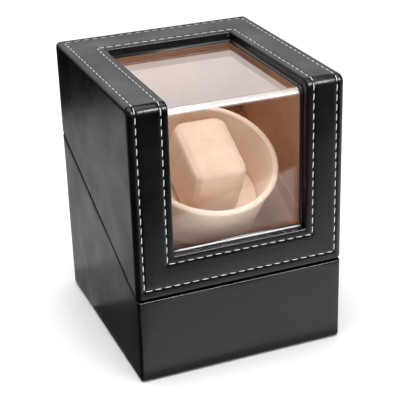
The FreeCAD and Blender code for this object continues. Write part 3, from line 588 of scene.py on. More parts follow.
@dataclass
class BentPath:
    """A line up the back, over the top and down the front, with round bends, in the Y-Z plane.

    Attributes:
        points: its corner points, (y, z) in metres.
        radii: bend radius at each inner corner.
        pieces: its runs and bends, worked out from the corners.
    """

    points: list[tuple[float, float]]
    radii: list[float]
    pieces: list[tuple] = field(default_factory=list)

    def __post_init__(self) -> None:
        """Works out the straight runs and the bends between them."""
        corner_points = [np.array(p, float) for p in self.points]
        start = corner_points[0]
        for i, radius in enumerate(self.radii, 1):
            before = corner_points[i] - corner_points[i - 1]
            after = corner_points[i + 1] - corner_points[i]
            before /= np.linalg.norm(before)
            after /= np.linalg.norm(after)
            turn = math.acos(float(np.clip(before @ after, -1, 1)))
            cut = radius * math.tan(turn / 2)
            end = corner_points[i] - before * cut
            self._run(start, end)
            outward = self._outward(before)
            self.pieces.append(("bend", end - outward * radius, radius, before, outward, turn))
            start = corner_points[i] + after * cut
        self._run(start, corner_points[-1])

    @staticmethod
    def _outward(along: np.ndarray) -> np.ndarray:
        """Outward normal of a run that goes up the back, forward over the top and down the front."""
        return np.array([along[1], -along[0]])

    def _run(self, start: np.ndarray, end: np.ndarray) -> None:
        """Adds one straight run."""
        length = float(np.linalg.norm(end - start))
        self.pieces.append(("run", start, (end - start) / length, length))

    def lengths(self) -> list[float]:
        """Length of each run and bend, in order."""
        return [p[3] if p[0] == "run" else p[2] * p[5] for p in self.pieces]

    @property
    def length(self) -> float:
        """The whole path's length."""
        return sum(self.lengths())

    def at(self, s: float) -> tuple[np.ndarray, np.ndarray]:
        """Finds a place on the path.

        Args:
            s: distance along the path.

        Returns:
            The point and the outward normal there, both (y, z).
        """
        for piece, length in zip(self.pieces, self.lengths()):
            if s <= length + 1e-9 or piece is self.pieces[-1]:
                if piece[0] == "run":
                    return piece[1] + piece[2] * s, self._outward(piece[2])
                _, centre, radius, along, outward, _ = piece
                angle = s / radius
                normal = outward * math.cos(angle) + along * math.sin(angle)
                return centre + normal * radius, normal
            s -= length
        raise ValueError("past the end of the path")

    def distance_to(self, y: Optional[float] = None, z: Optional[float] = None) -> float:
        """Measures along the path to where its top run passes y, or its front run passes z.

        Args:
            y: depth to look for on the top run.
            z: height to look for on the front run.

        Returns:
            The distance along the path.
        """
        done = 0.0
        for piece, length in zip(self.pieces, self.lengths()):
            if piece[0] == "run":
                start, along = piece[1], piece[2]
                if y is not None and along[0] < -0.9:
                    return done + (start[0] - y)
                if z is not None and along[1] < -0.9:
                    return done + (start[1] - z)
            done += length
        raise ValueError("the path doesn't pass there")

    def stations(self, marks: Sequence[float], step: float, bend_parts: int) -> list[float]:
        """Distances at which a sheet over this path has its cross lines.

        Args:
            marks: distances that must be among them.
            step: largest spacing on a run.
            bend_parts: how many parts a bend has.

        Returns:
            The distances in rising order.
        """
        fixed = {0.0, self.length}
        fixed.update(marks)
        done = 0.0
        for piece, length in zip(self.pieces, self.lengths()):
            if piece[0] == "bend":
                fixed.update(done + length * k / bend_parts for k in range(bend_parts + 1))
            done += length
        return filled(sorted(fixed), step)


def filled(values: Sequence[float], step: float) -> list[float]:
    """Adds even values between sorted ones so that no gap is larger than step.

    Args:
        values: sorted values.
        step: the largest gap that may stay.

    Returns:
        The values with the added ones among them.
    """
    kept = [values[0]]
    for value in values[1:]:
        if value - kept[-1] < 1e-6:
            continue
        parts = max(1, math.ceil((value - kept[-1]) / step - 1e-6))
        first = kept[-1]
        kept.extend(first + (value - first) * k / parts for k in range(1, parts + 1))
    return kept


def around_marks(marks: Sequence[float], reach: float, parts: int) -> list[float]:
    """Values close round each mark, for lines that follow a stitched groove."""
    return [m + reach * k / parts for m in marks for k in range(-parts, parts + 1)]


# ---- The sloping seam ----------------------------------------------------------------------


@dataclass(frozen=True)
class Seam:
    """The sloping line where lid and base meet, read from the lid's lower edge.

    Attributes:
        gap: upright opening between the two.
        settle: how far the base's leatherette has settled on its boards.
    """

    gap: float = 1.5 * MM
    settle: float = 0.9 * MM

    @property
    def ends(self) -> tuple[float, float, float, float]:
        """The lid's lower edge at both ends.

        Returns:
            Front y, front z, back y and back z.
        """
        low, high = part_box("lid_wrap")
        points = [v.co for v in frame["nodes"]["lid_wrap"].data.vertices]
        back_z = min(p.z for p in points if p.y > high.y - 0.1 * MM)
        return low.y, low.z, high.y, back_z

    def lines(self) -> tuple[Callable[[float], float], Callable[[float], float]]:
        """Gives both edges as functions of depth, with the ends read only once.

        Returns:
            The height of the lid's lower edge, and of the base's rim, at a depth.
        """
        y0, z0, y1, z1 = self.ends
        slope = (z1 - z0) / (y1 - y0)
        drop = self.gap + self.settle
        return (lambda y: z0 + (y - y0) * slope), (lambda y: z0 + (y - y0) * slope - drop)


# ---- The lid's leatherette -----------------------------------------------------------------


@dataclass
class StitchRow:
    """A closed rectangle of stitches on the bent frame, in its flat coordinates.

    Attributes:
        name: which row it is.
        half_width: half the rectangle's width.
        start: where the rectangle begins along the bent path.
        end: where it ends.
        pitch: from one stitch to the next.
        gap: between the holes of two stitches.
        thread_r: radius of the thread.
    """

    name: str
    half_width: float
    start: float
    end: float
    pitch: float = 5.85 * MM
    gap: float = 0.75 * MM
    thread_r: float = 0.30 * MM

    def distance(self, x: float, s: float) -> float:
        """Measures from a flat point to the row, negative inside it.

        Args:
            x: flat distance across.
            s: distance along the bent path.

        Returns:
            The distance.
        """
        dx = abs(x) - self.half_width
        ds = max(self.start - s, s - self.end)
        if dx <= 0 and ds <= 0:
            return -max(dx, ds)
        return math.hypot(max(dx, 0.0), max(ds, 0.0))

    def sides(self) -> list[tuple[tuple[float, float], tuple[float, float]]]:
        """Lists the four sides.

        Returns:
            Each side as a pair of flat points.
        """
        w = self.half_width
        corners = [(-w, self.start), (-w, self.end), (w, self.end), (w, self.start)]
        return [(corners[i], corners[(i + 1) % 4]) for i in range(4)]


@dataclass
class LidCover:
    """Leatherette drawn over the lid: a bent frame round the window, two sides and a turned-in rim.

    Attributes:
        shelf: where its finishes come from.
        edge_r: radius of the side and back edges.
        front_r: radius of the long front top edge.
        window_r: radius of the leather where it turns into the window.
        skin: thickness of the leatherette.
        frame_depth: from the outer face down to the pane.
        pane_bend_r: radius of the pane's bend.
        bead_r: radius of the sealing bead round the pane.
        window_side_bar: width of the frame beside the window.
        window_low_bar: height of the frame below it.
        window_back_bar: depth of the frame behind it.
        stitch_outer: from the outer edge to the outer row of stitches.
        stitch_inner: from the window's edge to the inner row of stitches.
        groove: how deep the thread draws the leatherette in.
        groove_reach: how far to each side it does so.
        swell: how far the padding stands up between the rows.
        mesh_step: largest mesh spacing on the frame.
        stitch_reach: band round a row of stitches with a closer mesh.
        seam_parts: mesh parts along the seam's edge of each side.
        side_rings: rings of faces that fill each side.
    """

    shelf: FinishShelf
    edge_r: float = 2.5 * MM
    front_r: float = 5.0 * MM
    window_r: float = 1.2 * MM
    skin: float = 1.0 * MM
    frame_depth: float = 6.4 * MM
    pane_bend_r: float = 4.0 * MM
    bead_r: float = 1.5 * MM
    window_side_bar: float = 23.7 * MM
    window_low_bar: float = 23.5 * MM
    window_back_bar: float = 29.5 * MM
    stitch_outer: float = 4.7 * MM
    stitch_inner: float = 4.4 * MM
    groove: float = 0.32 * MM
    groove_reach: float = 0.8 * MM
    swell: float = 0.30 * MM
    mesh_step: float = 1.6 * MM
    stitch_reach: float = 1.5 * MM
    seam_parts: int = 48
    side_rings: int = 14

    def __post_init__(self) -> None:
        """Reads the lid's box from the frame and lays out the path and the rows."""
        low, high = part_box("lid_wrap")
        self.half = high.x
        self.front_y, self.back_y = low.y, high.y
        self.low_z, self.top_z = low.z, high.z
        self.seam_z, _ = Seam().lines()
        self.back_low_z = self.seam_z(self.back_y)
        self.path = BentPath([(self.back_y, self.back_low_z), (self.back_y, self.top_z),
                              (self.front_y, self.top_z), (self.front_y, self.low_z)],
                             [self.edge_r, self.front_r])
        self.window_half = self.half - self.window_side_bar
        self.window_low_z = self.low_z + self.window_low_bar
        self.window_back_y = self.back_y - self.window_back_bar
        self.hole_start = self.path.distance_to(y=self.window_back_y)
        self.hole_end = self.path.distance_to(z=self.window_low_z)
        outer, inner = self.stitch_outer, self.stitch_inner
        self.rows = [
            StitchRow("outer", self.half - outer, self.path.distance_to(y=self.back_y - outer),
                      self.path.distance_to(z=self.low_z + outer)),
            StitchRow("inner", self.window_half + inner, self.hole_start - inner,
                      self.hole_end + inner),
        ]

    def height(self, x: float, s: float) -> float:
        """Shapes the leatherette: swollen between the rows of stitches, drawn in at them.

        Args:
            x: flat distance across.
            s: distance along the bent path.

        Returns:
            How far it stands above the plain sheet.
        """
        drawn = 0.0
        for row in self.rows:
            d = row.distance(x, s)
            drawn += self.groove * math.exp(-((d / self.groove_reach) ** 2))
        between = self.half - self.window_half - self.stitch_outer - self.stitch_inner
        inside = self.rows[0].distance(x, s)
        share = max(0.0, 1.0 - abs(inside - between / 2) / (between / 2 + 2.0 * MM))
        return self.swell * (share ** 0.5) - drawn

    def surface(self, x: float, s: float, lift: float = 0.0) -> Vector:
        """Places a point of the sheet in the box.

        Args:
            x: flat distance across.
            s: distance along the bent path.
            lift: how far it is lifted along the sheet's normal.

        Returns:
            The point.
        """
        point, normal = self.path.at(s)
        y, z = point + normal * lift
        return Vector((x, float(y), float(z)))

    def pane_point(self, p: Vector) -> Vector:
        """Finds the pane's outer face below a point of the frame.

        Args:
            p: a point on the leatherette.

        Returns:
            The point on the pane.
        """
        front = self.front_y + self.frame_depth
        top = self.top_z - self.frame_depth
        centre = Vector((p.x, front + self.pane_bend_r, top - self.pane_bend_r))
        if p.y >= centre.y:
            return Vector((p.x, p.y, top))
        if p.z <= centre.z:
            return Vector((p.x, front, p.z))
        return centre + (p - centre).normalized() * self.pane_bend_r

    def build_skin(self) -> bpy.types.Object:
        """Builds the outer leatherette with its window.

        Returns:
            The skin, which stands for the lid's wrap.
        """
        hole = (self.hole_start - self.window_r, self.hole_end + self.window_r)
        hole_half = self.window_half + self.window_r
        flat_half = self.half - self.edge_r
        stations, cross = self._mesh_lines(hole, hole_half, flat_half)
        verts: list[Vector] = []
        for s in stations:
            for x, lift in cross:
                clamp = max(-flat_half, min(flat_half, x))
                extra = self.height(clamp, s) if lift is None else lift
                point = self.surface(x, s, extra)
                if s in (stations[0], stations[-1]):
                    point.z = self.seam_z(point.y)
                verts.append(point)
        width = len(cross)

        def number(i: int, j: int) -> int:
            """Number of the corner at a station and a column."""
            return i * width + j

        def in_hole(x0: float, x1: float, s0: float, s1: float) -> bool:
            """Whether the face between two columns and two stations lies in the window."""
            x, s = (x0 + x1) / 2, (s0 + s1) / 2
            return abs(x) < hole_half and hole[0] < s < hole[1]

        faces = []
        for i in range(len(stations) - 1):
            for j in range(width - 1):
                if not in_hole(cross[j][0], cross[j + 1][0], stations[i], stations[i + 1]):
                    faces.append((number(i, j), number(i + 1, j), number(i + 1, j + 1), number(i, j + 1)))
        i0, i1 = nearest(stations, hole[0]), nearest(stations, hole[1])
        xs = [x for x, _ in cross]
        j0, j1 = nearest(xs, -hole_half), nearest(xs, hole_half)
        self._add_reveal(verts, faces, stations, xs, (i0, i1, j0, j1), width)
        for j, side in ((0, -1), (width - 1, 1)):
            ring = [number(i, j) for i in range(len(stations))]
            first, last = verts[ring[0]].copy(), verts[ring[-1]].copy()
            for k in range(1, self.seam_parts):
                verts.append(last.lerp(first, k / self.seam_parts))
                ring.append(len(verts) - 1)
            self._add_side(verts, faces, ring, side)
        skin = make_object("lid_leather", verts, faces)
        weld(skin)
        for face in skin.data.polygons:     # the two sides are glued flat to their boards
            face.use_smooth = abs(face.normal.x) < 0.99999
        thicken(skin, self.skin)
        return finish_piece(skin, Body.LID, "black_leatherette", self.shelf, ["lid_wrap"])

    def _mesh_lines(self, hole: tuple[float, float], hole_half: float,
                    flat_half: float) -> tuple[list[float], list[tuple[float, Optional[float]]]]:
        """Lays out the sheet's mesh lines, closer round the stitches and round the window.

        Args:
            hole: where the window begins and ends along the path.
            hole_half: half its width.
            flat_half: half the sheet's width up to its round side edges.

        Returns:
            Distances of the cross lines along the path. Then for each long line its flat distance
            across and its lift, which is None where the sheet's own shape counts.
        """
        stitch_s = [v for row in self.rows for v in (row.start, row.end)]
        marks = list(hole) + around_marks(stitch_s, self.stitch_reach, 3)
        stations = self.path.stations(marks, self.mesh_step, 8)
        x_marks = [-flat_half, flat_half, -hole_half, hole_half]
        for row in self.rows:
            x_marks += around_marks([-row.half_width, row.half_width], self.stitch_reach, 3)
        columns = filled(sorted(v for v in x_marks if abs(v) <= flat_half + 1e-9), self.mesh_step)
        turns = quarter_turn(6)[1:]
        cross = [(-flat_half - self.edge_r * math.sin(a), -self.edge_r * (1 - math.cos(a)))
                 for a in reversed(turns)]
        cross += [(x, None) for x in columns]
        cross += [(flat_half + self.edge_r * math.sin(a), -self.edge_r * (1 - math.cos(a)))
                  for a in turns]
        return stations, cross

    def _add_side(self, verts: list, faces: list, ring: list[int], side: int) -> None:
        """Fills one side of the lid with rings of faces that shrink towards its middle.

        Args:
            verts: the sheet's points, which grow.
            faces: the sheet's faces, which grow.
            ring: numbers of the points round the side's edge.
            side: -1 for the left side, 1 for the right one.
        """
        middle = sum((verts[i] for i in ring), Vector()) / len(ring)
        edge = ring
        steps = self.side_rings
        for k in range(1, steps + 1):
            if k == steps:
                verts.append(middle.copy())
                inner = [len(verts) - 1] * len(edge)
            else:
                inner = []
                for i in ring:
                    verts.append(middle.lerp(verts[i], 1 - k / steps))
                    inner.append(len(verts) - 1)
            for face in between_rings(edge, inner):
                face = face[:4 if k < steps else 3]
                faces.append(face if side > 0 else face[::-1])
            edge = inner

    def _add_reveal(self, verts: list, faces: list, stations: list[float], xs: list[float],
                    hole: tuple[int, int, int, int], width: int) -> None:
        """Turns the leatherette over the window's edge and down to the pane.

        Args:
            verts: the sheet's points, which grow.
            faces: the sheet's faces, which grow.
            stations: distances of the cross lines along the path.
            xs: flat distances of the columns.
            hole: first and last station and column of the window.
            width: how many columns there are.
        """
        i0, i1, j0, j1 = hole
        loop = [(i, j0) for i in range(i0, i1)] + [(i1, j) for j in range(j0, j1)]
        loop += [(i, j1) for i in range(i1, i0, -1)] + [(i0, j) for j in range(j1, j0, -1)]
        rings = [[i * width + j for i, j in loop]]
        arc = quarter_turn(4)[1:]
        shape = [(self.window_r * math.sin(a), self.window_r * (1 - math.cos(a)), 0.0) for a in arc]
        shape += [(self.window_r, self.window_r, k / 4) for k in range(1, 5)]
        for inward, sink, share in shape:
            ring = []
            for i, j in loop:
                dx = (1 if j == j0 else -1 if j == j1 else 0) * inward
                ds = (1 if i == i0 else -1 if i == i1 else 0) * inward
                top = self.surface(xs[j] + dx, stations[i] + ds, -sink)
                verts.append(top.lerp(self.pane_point(top), share))
                ring.append(len(verts) - 1)
            rings.append(ring)
        for outer, inner in zip(rings, rings[1:]):
            faces += between_rings(outer, inner)

    def build_turn_in(self) -> bpy.types.Object:
        """Builds the strip of leatherette folded over the lid's lower edge.

        Returns:
            The strip.
        """
        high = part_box("lid_lining_right")[1]
        outer = (self.half - self.skin, self.front_y + self.skin, self.back_y - self.skin)
        inner = (high.x, self.front_y + self.frame_depth, high.y)
        rings = []
        verts: list[Vector] = []
        for lift in (0.0, self.skin * 0.9):
            for half, y0, y1 in (outer, inner):
                ring = []
                for x, y in ((-half, y0), (half, y0), (half, y1), (-half, y1)):
                    verts.append(Vector((x, y, self.seam_z(y) + lift)))
                    ring.append(len(verts) - 1)
                rings.append(ring)
        low_out, low_in, high_out, high_in = rings
        faces = []
        for k in range(4):
            n = (k + 1) % 4
            faces += [(low_out[k], low_in[k], low_in[n], low_out[n]),
                      (high_out[k], high_out[n], high_in[n], high_in[k]),
                      (low_out[k], low_out[n], high_out[n], high_out[k]),
                      (low_in[k], high_in[k], high_in[n], low_in[n])]
        strip = make_object("lid_rim_turn_in", verts, faces, smooth=False)
        bevel = strip.modifiers.new("soft_edges", "BEVEL")
        bevel.width = 0.3 * MM
        bevel.segments = 2
        apply_modifiers(strip)
        return finish_piece(strip, Body.LID, "black_leatherette", self.shelf)

    def build_stitches(self, row: StitchRow, finish: bpy.types.Material) -> bpy.types.Object:
        """Builds one row of thread, each stitch rising out of one hole and into the next.

        Args:
            row: where the stitches run.
            finish: the thread's material.

        Returns:
            The row of thread.
        """
        verts: list[Vector] = []
        faces: list[tuple] = []
        count = 0
        for (x0, s0), (x1, s1) in row.sides():
            length = math.hypot(x1 - x0, s1 - s0)
            number = max(1, round(length / row.pitch))
            step = length / number
            across = Vector((-(s1 - s0), x1 - x0)) / length
            for k in range(number):
                count += 1
                wobble = noise.noise(Vector((count * 0.73, row.half_width * 90, 0.5)))
                slant = (0.16 + 0.10 * wobble) * MM
                a, b = (k * step + row.gap / 2) / length, ((k + 1) * step - row.gap / 2) / length
                self._add_stitch(verts, faces, row, (x0, s0, x1, s1), (a, b), across * slant)
        thread = make_object(f"stitches_{row.name}", verts, faces)
        return finish_piece(thread, Body.LID, "black_leatherette", self.shelf, finish=finish)

    def _add_stitch(self, verts: list, faces: list, row: StitchRow, side: tuple, span: tuple,
                    slant: Vector) -> None:
        """Adds one stitch: a short round thread with both ends sunk in the leatherette.

        Args:
            verts: the row's points, which grow.
            faces: the row's faces, which grow.
            row: the row that it belongs to.
            side: both ends of the row's side, as flat numbers.
            span: where on that side it begins and ends, as shares.
            slant: how far each end leans across the row.
        """
        x0, s0, x1, s1 = side
        rings, sides = 9, 8
        centres, outs = [], []
        for k in range(rings):
            t = k / (rings - 1)
            u = span[0] + (span[1] - span[0]) * t
            shift = slant * (2 * t - 1)
            x, s = x0 + (x1 - x0) * u + shift.x, s0 + (s1 - s0) * u + shift.y
            rise = math.sin(math.pi * t) ** 0.45
            lift = -self.groove + row.thread_r * (1.35 * rise - 0.9)
            centres.append(self.surface(x, s, lift))
            normal = self.path.at(s)[1]
            outs.append(Vector((0, float(normal[0]), float(normal[1]))))
        first = len(verts)
        for k, (centre, out) in enumerate(zip(centres, outs)):
            along = (centres[min(k + 1, rings - 1)] - centres[max(k - 1, 0)]).normalized()
            side_way = along.cross(out).normalized()
            up = side_way.cross(along)
            t = k / (rings - 1)
            radius = row.thread_r * (0.55 + 0.45 * math.sin(math.pi * t) ** 0.4)
            for m in range(sides):
                a = 2 * math.pi * m / sides
                verts.append(centre + (side_way * math.cos(a) + up * math.sin(a) * 0.8) * radius)
        faces += tube_faces(first, rings, sides)

    def build_bead(self) -> bpy.types.Object:
        """Builds the black sealing bead that lies on the pane along the foot of the recess.

        Returns:
            The bead.
        """
        radius = self.bead_r
        front, top = self.front_y + self.frame_depth, self.top_z - self.frame_depth
        path = BentPath([(self.back_y, top), (front, top), (front, self.low_z)], [self.pane_bend_r])
        start, end = path.distance_to(y=self.window_back_y), path.distance_to(z=self.window_low_z)
        along = filled(sorted(v for v in path.stations([start, end], 3 * MM, 8)
                              if start - 1e-9 <= v <= end + 1e-9), 3 * MM)
        half = self.window_half
        loop = [(-half, s, 1, 1 if k == 0 else 0) for k, s in enumerate(along[:-1])]
        loop += [(-half, end, 1, -1), (half, end, -1, -1)]
        loop += [(half, s, -1, 0) for s in reversed(along[1:-1])]
        loop += [(half, start, -1, 1)]
        shape = [(0.0, 0.0)] + [(radius * math.sin(a), radius * math.cos(a)) for a in quarter_turn(6)]
        verts: list[Vector] = []
        for inward, lift in shape:
            for x, s, dx, ds in loop:
                point, normal = path.at(s + ds * inward)
                y, z = point + normal * (lift + 0.02 * MM)
                verts.append(Vector((x + dx * inward, float(y), float(z))))
        size = len(loop)
        rings = [range(r * size, (r + 1) * size) for r in range(len(shape))]
        faces = [face[::-1] for low, high in zip(rings, rings[1:] + rings[:1])
                 for face in between_rings(low, high)]
        bead = make_object("pane_bead", verts, faces)
        return finish_piece(bead, Body.LID, "black_abs", self.shelf)

    def build_foot_line(self) -> bpy.types.Object:
        """Builds the clear edge strip that lies along the foot of the window's front.

        Returns:
            The strip.
        """
        radius, lift = 0.75 * MM, 1.9 * MM
        half = self.window_half - self.bead_r
        y = self.front_y + self.frame_depth - lift
        z = self.window_low_z + 0.6 * MM
        verts: list[Vector] = []
        spans = [-half + 2 * half * k / 24 for k in range(25)]
        sides = 10
        for k, x in enumerate(spans):
            size = radius * (0.6 if k in (0, len(spans) - 1) else 1.0)
            for m in range(sides):
                a = 2 * math.pi * m / sides
                verts.append(Vector((x, y + size * math.cos(a), z + size * 0.8 * math.sin(a))))
        faces = [face[::-1] for face in tube_faces(0, len(spans), sides)]
        strip = make_object("pane_foot_strip", verts, faces)
        return finish_piece(strip, Body.LID, "clear_acrylic", self.shelf, finish=FOOT_STRIP.build())

    def build(self) -> None:
        """Builds every piece of the lid's cover."""
        self.build_skin()
        self.build_turn_in()
        thread = THREAD.build()
        for row in self.rows:
            self.build_stitches(row, thread)
        self.build_bead()
        self.build_foot_line()


@dataclass
class BaseCover:
    """Leatherette drawn over the base: four walls, a rounded rim turned in, and the tray's opening.

    Attributes:
        shelf: where its finish comes from.
        edge_r: radius of the upright edges.
        rim_r: radius of the rim's outer edge.
        foot_r: radius of the lower edge.
        skin: thickness of the leatherette.
        turn_in: how far it is folded over the rim.
        proud: how far the padded sides stand out, to lie flush with the lid's.
        foot_turn: how far it is folded under the foot.
        foot_drop: how far that fold hangs below the walls.
        wave: depth of the slow unevenness over the boards.
        wave_length: its size.
        plan_step: largest mesh spacing round the plan.
        wall_step: largest mesh spacing up the walls, as a share of their height.
    """

    shelf: FinishShelf
    proud: float = 0.8 * MM
    edge_r: float = 1.8 * MM
    rim_r: float = 0.6 * MM
    foot_r: float = 0.8 * MM
    skin: float = 0.9 * MM
    turn_in: float = 6.9 * MM
    foot_turn: float = 3.0 * MM
    foot_drop: float = 0.1 * MM
    plan_step: float = 5.0 * MM
    wall_step: float = 0.045
    wave: float = 0.10 * MM
    wave_length: float = 34.0 * MM

    def __post_init__(self) -> None:
        """Reads the base's and the tray's boxes from the frame."""
        low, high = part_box("base_wrap")
        self.half, self.back_y, self.low_z = high.x + self.proud, high.y, low.z
        _, self.rim_z = Seam().lines()
        tray_low, tray_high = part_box("control_tray")
        self.hole = (tray_low.x, tray_high.x, tray_low.z, tray_high.z)

    def outline(self, inset: float) -> list[tuple[float, float, float, float]]:
        """Draws the base's plan.

        Args:
            inset: how far it is set in from the outer face.

        Returns:
            For each point x, y and its outward direction.
        """
        radius = max(self.edge_r - inset, 0.0)
        cx, cy = self.half - self.edge_r, self.back_y - self.edge_r
        if inset > self.edge_r:
            cx, cy = self.half - inset, self.back_y - inset
        xs = filled(sorted({-cx, self.hole[0], self.hole[1], cx}), self.plan_step)
        ys = filled([-cy, cy], self.plan_step)
        points: list[tuple[float, float, float, float]] = []
        sides = [(xs, -cy, 0), (ys, cx, 1), (xs[::-1], cy, 2), (ys[::-1], -cx, 3)]
        for values, fixed, side in sides:
            start = -math.pi / 2 + side * math.pi / 2
            nx, ny = round(math.cos(start)), round(math.sin(start))
            for value in values[:-1]:
                x, y = (value, fixed) if side % 2 == 0 else (fixed, value)
                points.append((x + nx * radius, y + ny * radius, nx, ny))
            last = values[-1]
            x, y = (last, fixed) if side % 2 == 0 else (fixed, last)
            for turn in quarter_turn(6)[:-1]:
                a = start + turn
                points.append((x + math.cos(a) * radius, y + math.sin(a) * radius,
                               math.cos(a), math.sin(a)))
        return points

    def build(self) -> bpy.types.Object:
        """Builds the cover: foot, walls, rounded rim and what is turned in over it.

        Returns:
            The cover, which stands for the base's wrap.
        """
        rows = self._profile()
        verts: list[Vector] = []
        size = len(self.outline(0.0))
        for inset, height in rows:
            points = self.outline(inset) if inset < self.edge_r else self._stretched(inset)
            for x, y, nx, ny in points:
                z = height(y)
                push = self._wave(x, y, z) if inset == 0.0 else 0.0
                verts.append(Vector((x + nx * push, y + ny * push, z)))
        faces = []
        rings = [range(r * size, (r + 1) * size) for r in range(len(rows))]
        for low, high in zip(rings, rings[1:]):
            faces += [face for face in between_rings(low, high)
                      if not self._in_hole([verts[i] for i in face])]
        cover = make_object("base_leather", verts, faces)
        weld(cover)
        thicken(cover, self.skin)
        return finish_piece(cover, Body.BASE, "black_leatherette", self.shelf, ["base_wrap"])

    def _profile(self) -> list[tuple[float, Callable[[float], float]]]:
        """Lists the cover's lines: under the foot, round it, up the walls and in over the rim.

        Returns:
            For each line how far it is set in, and its height at a depth.
        """
        foot = self.low_z + self.foot_r
        back_height = self.rim_z(self.back_y) - self.rim_r - self.low_z - self.foot_r
        tray = [(z - self.low_z - self.foot_r) / back_height for z in self.hole[2:]]
        rows: list[tuple[float, Callable[[float], float]]] = [
            (self.foot_r + self.foot_turn, lambda y: self.low_z - self.foot_drop)]
        rows += [(self.foot_r * (1 - math.sin(a)), lambda y, a=a: foot - self.foot_r * math.cos(a))
                 for a in quarter_turn(5)[:-1]]
        rows += [(0.0, lambda y, s=share: foot + (self.rim_z(y) - self.rim_r - foot) * s)
                 for share in filled([0.0, *tray, 1.0], self.wall_step)]
        rows += [(self.rim_r * (1 - math.cos(a)),
                  lambda y, a=a: self.rim_z(y) - self.rim_r * (1 - math.sin(a)))
                 for a in quarter_turn(5)[1:]]
        rows.append((self.turn_in, self.rim_z))
        return rows

    def _stretched(self, inset: float) -> list[tuple[float, float, float, float]]:
        """Draws the plan set in beyond its corner radius, with as many points as the full one.

        Args:
            inset: how far it is set in.

        Returns:
            For each point x, y and its outward direction.
        """
        shrink_x = (self.half - self.proud - inset) / self.half
        shrink_y = (self.back_y - inset) / self.back_y
        return [(x * shrink_x, y * shrink_y, nx, ny) for x, y, nx, ny in self.outline(0.0)]

    def _wave(self, x: float, y: float, z: float) -> float:
        """Gives the slow unevenness of the leatherette, with none round the tray.

        Args:
            x: the place's x.
            y: its y.
            z: its z.

        Returns:
            How far the leatherette stands off its board.
        """
        x0, x1, z0, z1 = self.hole
        if y > self.back_y - 1 * MM and x0 - 1 * MM < x < x1 + 1 * MM and z < z1 + 1 * MM:
            return 0.0
        return self.wave * noise.noise(Vector((x, y, z)) / self.wave_length)

    def _in_hole(self, corners: Sequence[Vector]) -> bool:
        """Tells whether a face lies in the opening for the control tray.

        Args:
            corners: the face's corners.

        Returns:
            True where the face is left out.
        """
        middle = sum(corners, Vector()) / len(corners)
        x0, x1, z0, z1 = self.hole
        return middle.y > self.back_y - 0.5 * MM and x0 < middle.x < x1 and z0 < middle.z < z1


def nearest(values: Sequence[float], wanted: float) -> int:
    """Returns the number of the value closest to the wanted one."""
    return min(range(len(values)), key=lambda k: abs(values[k] - wanted))


# ---- Cushion -------------------------------------------------------------------------------


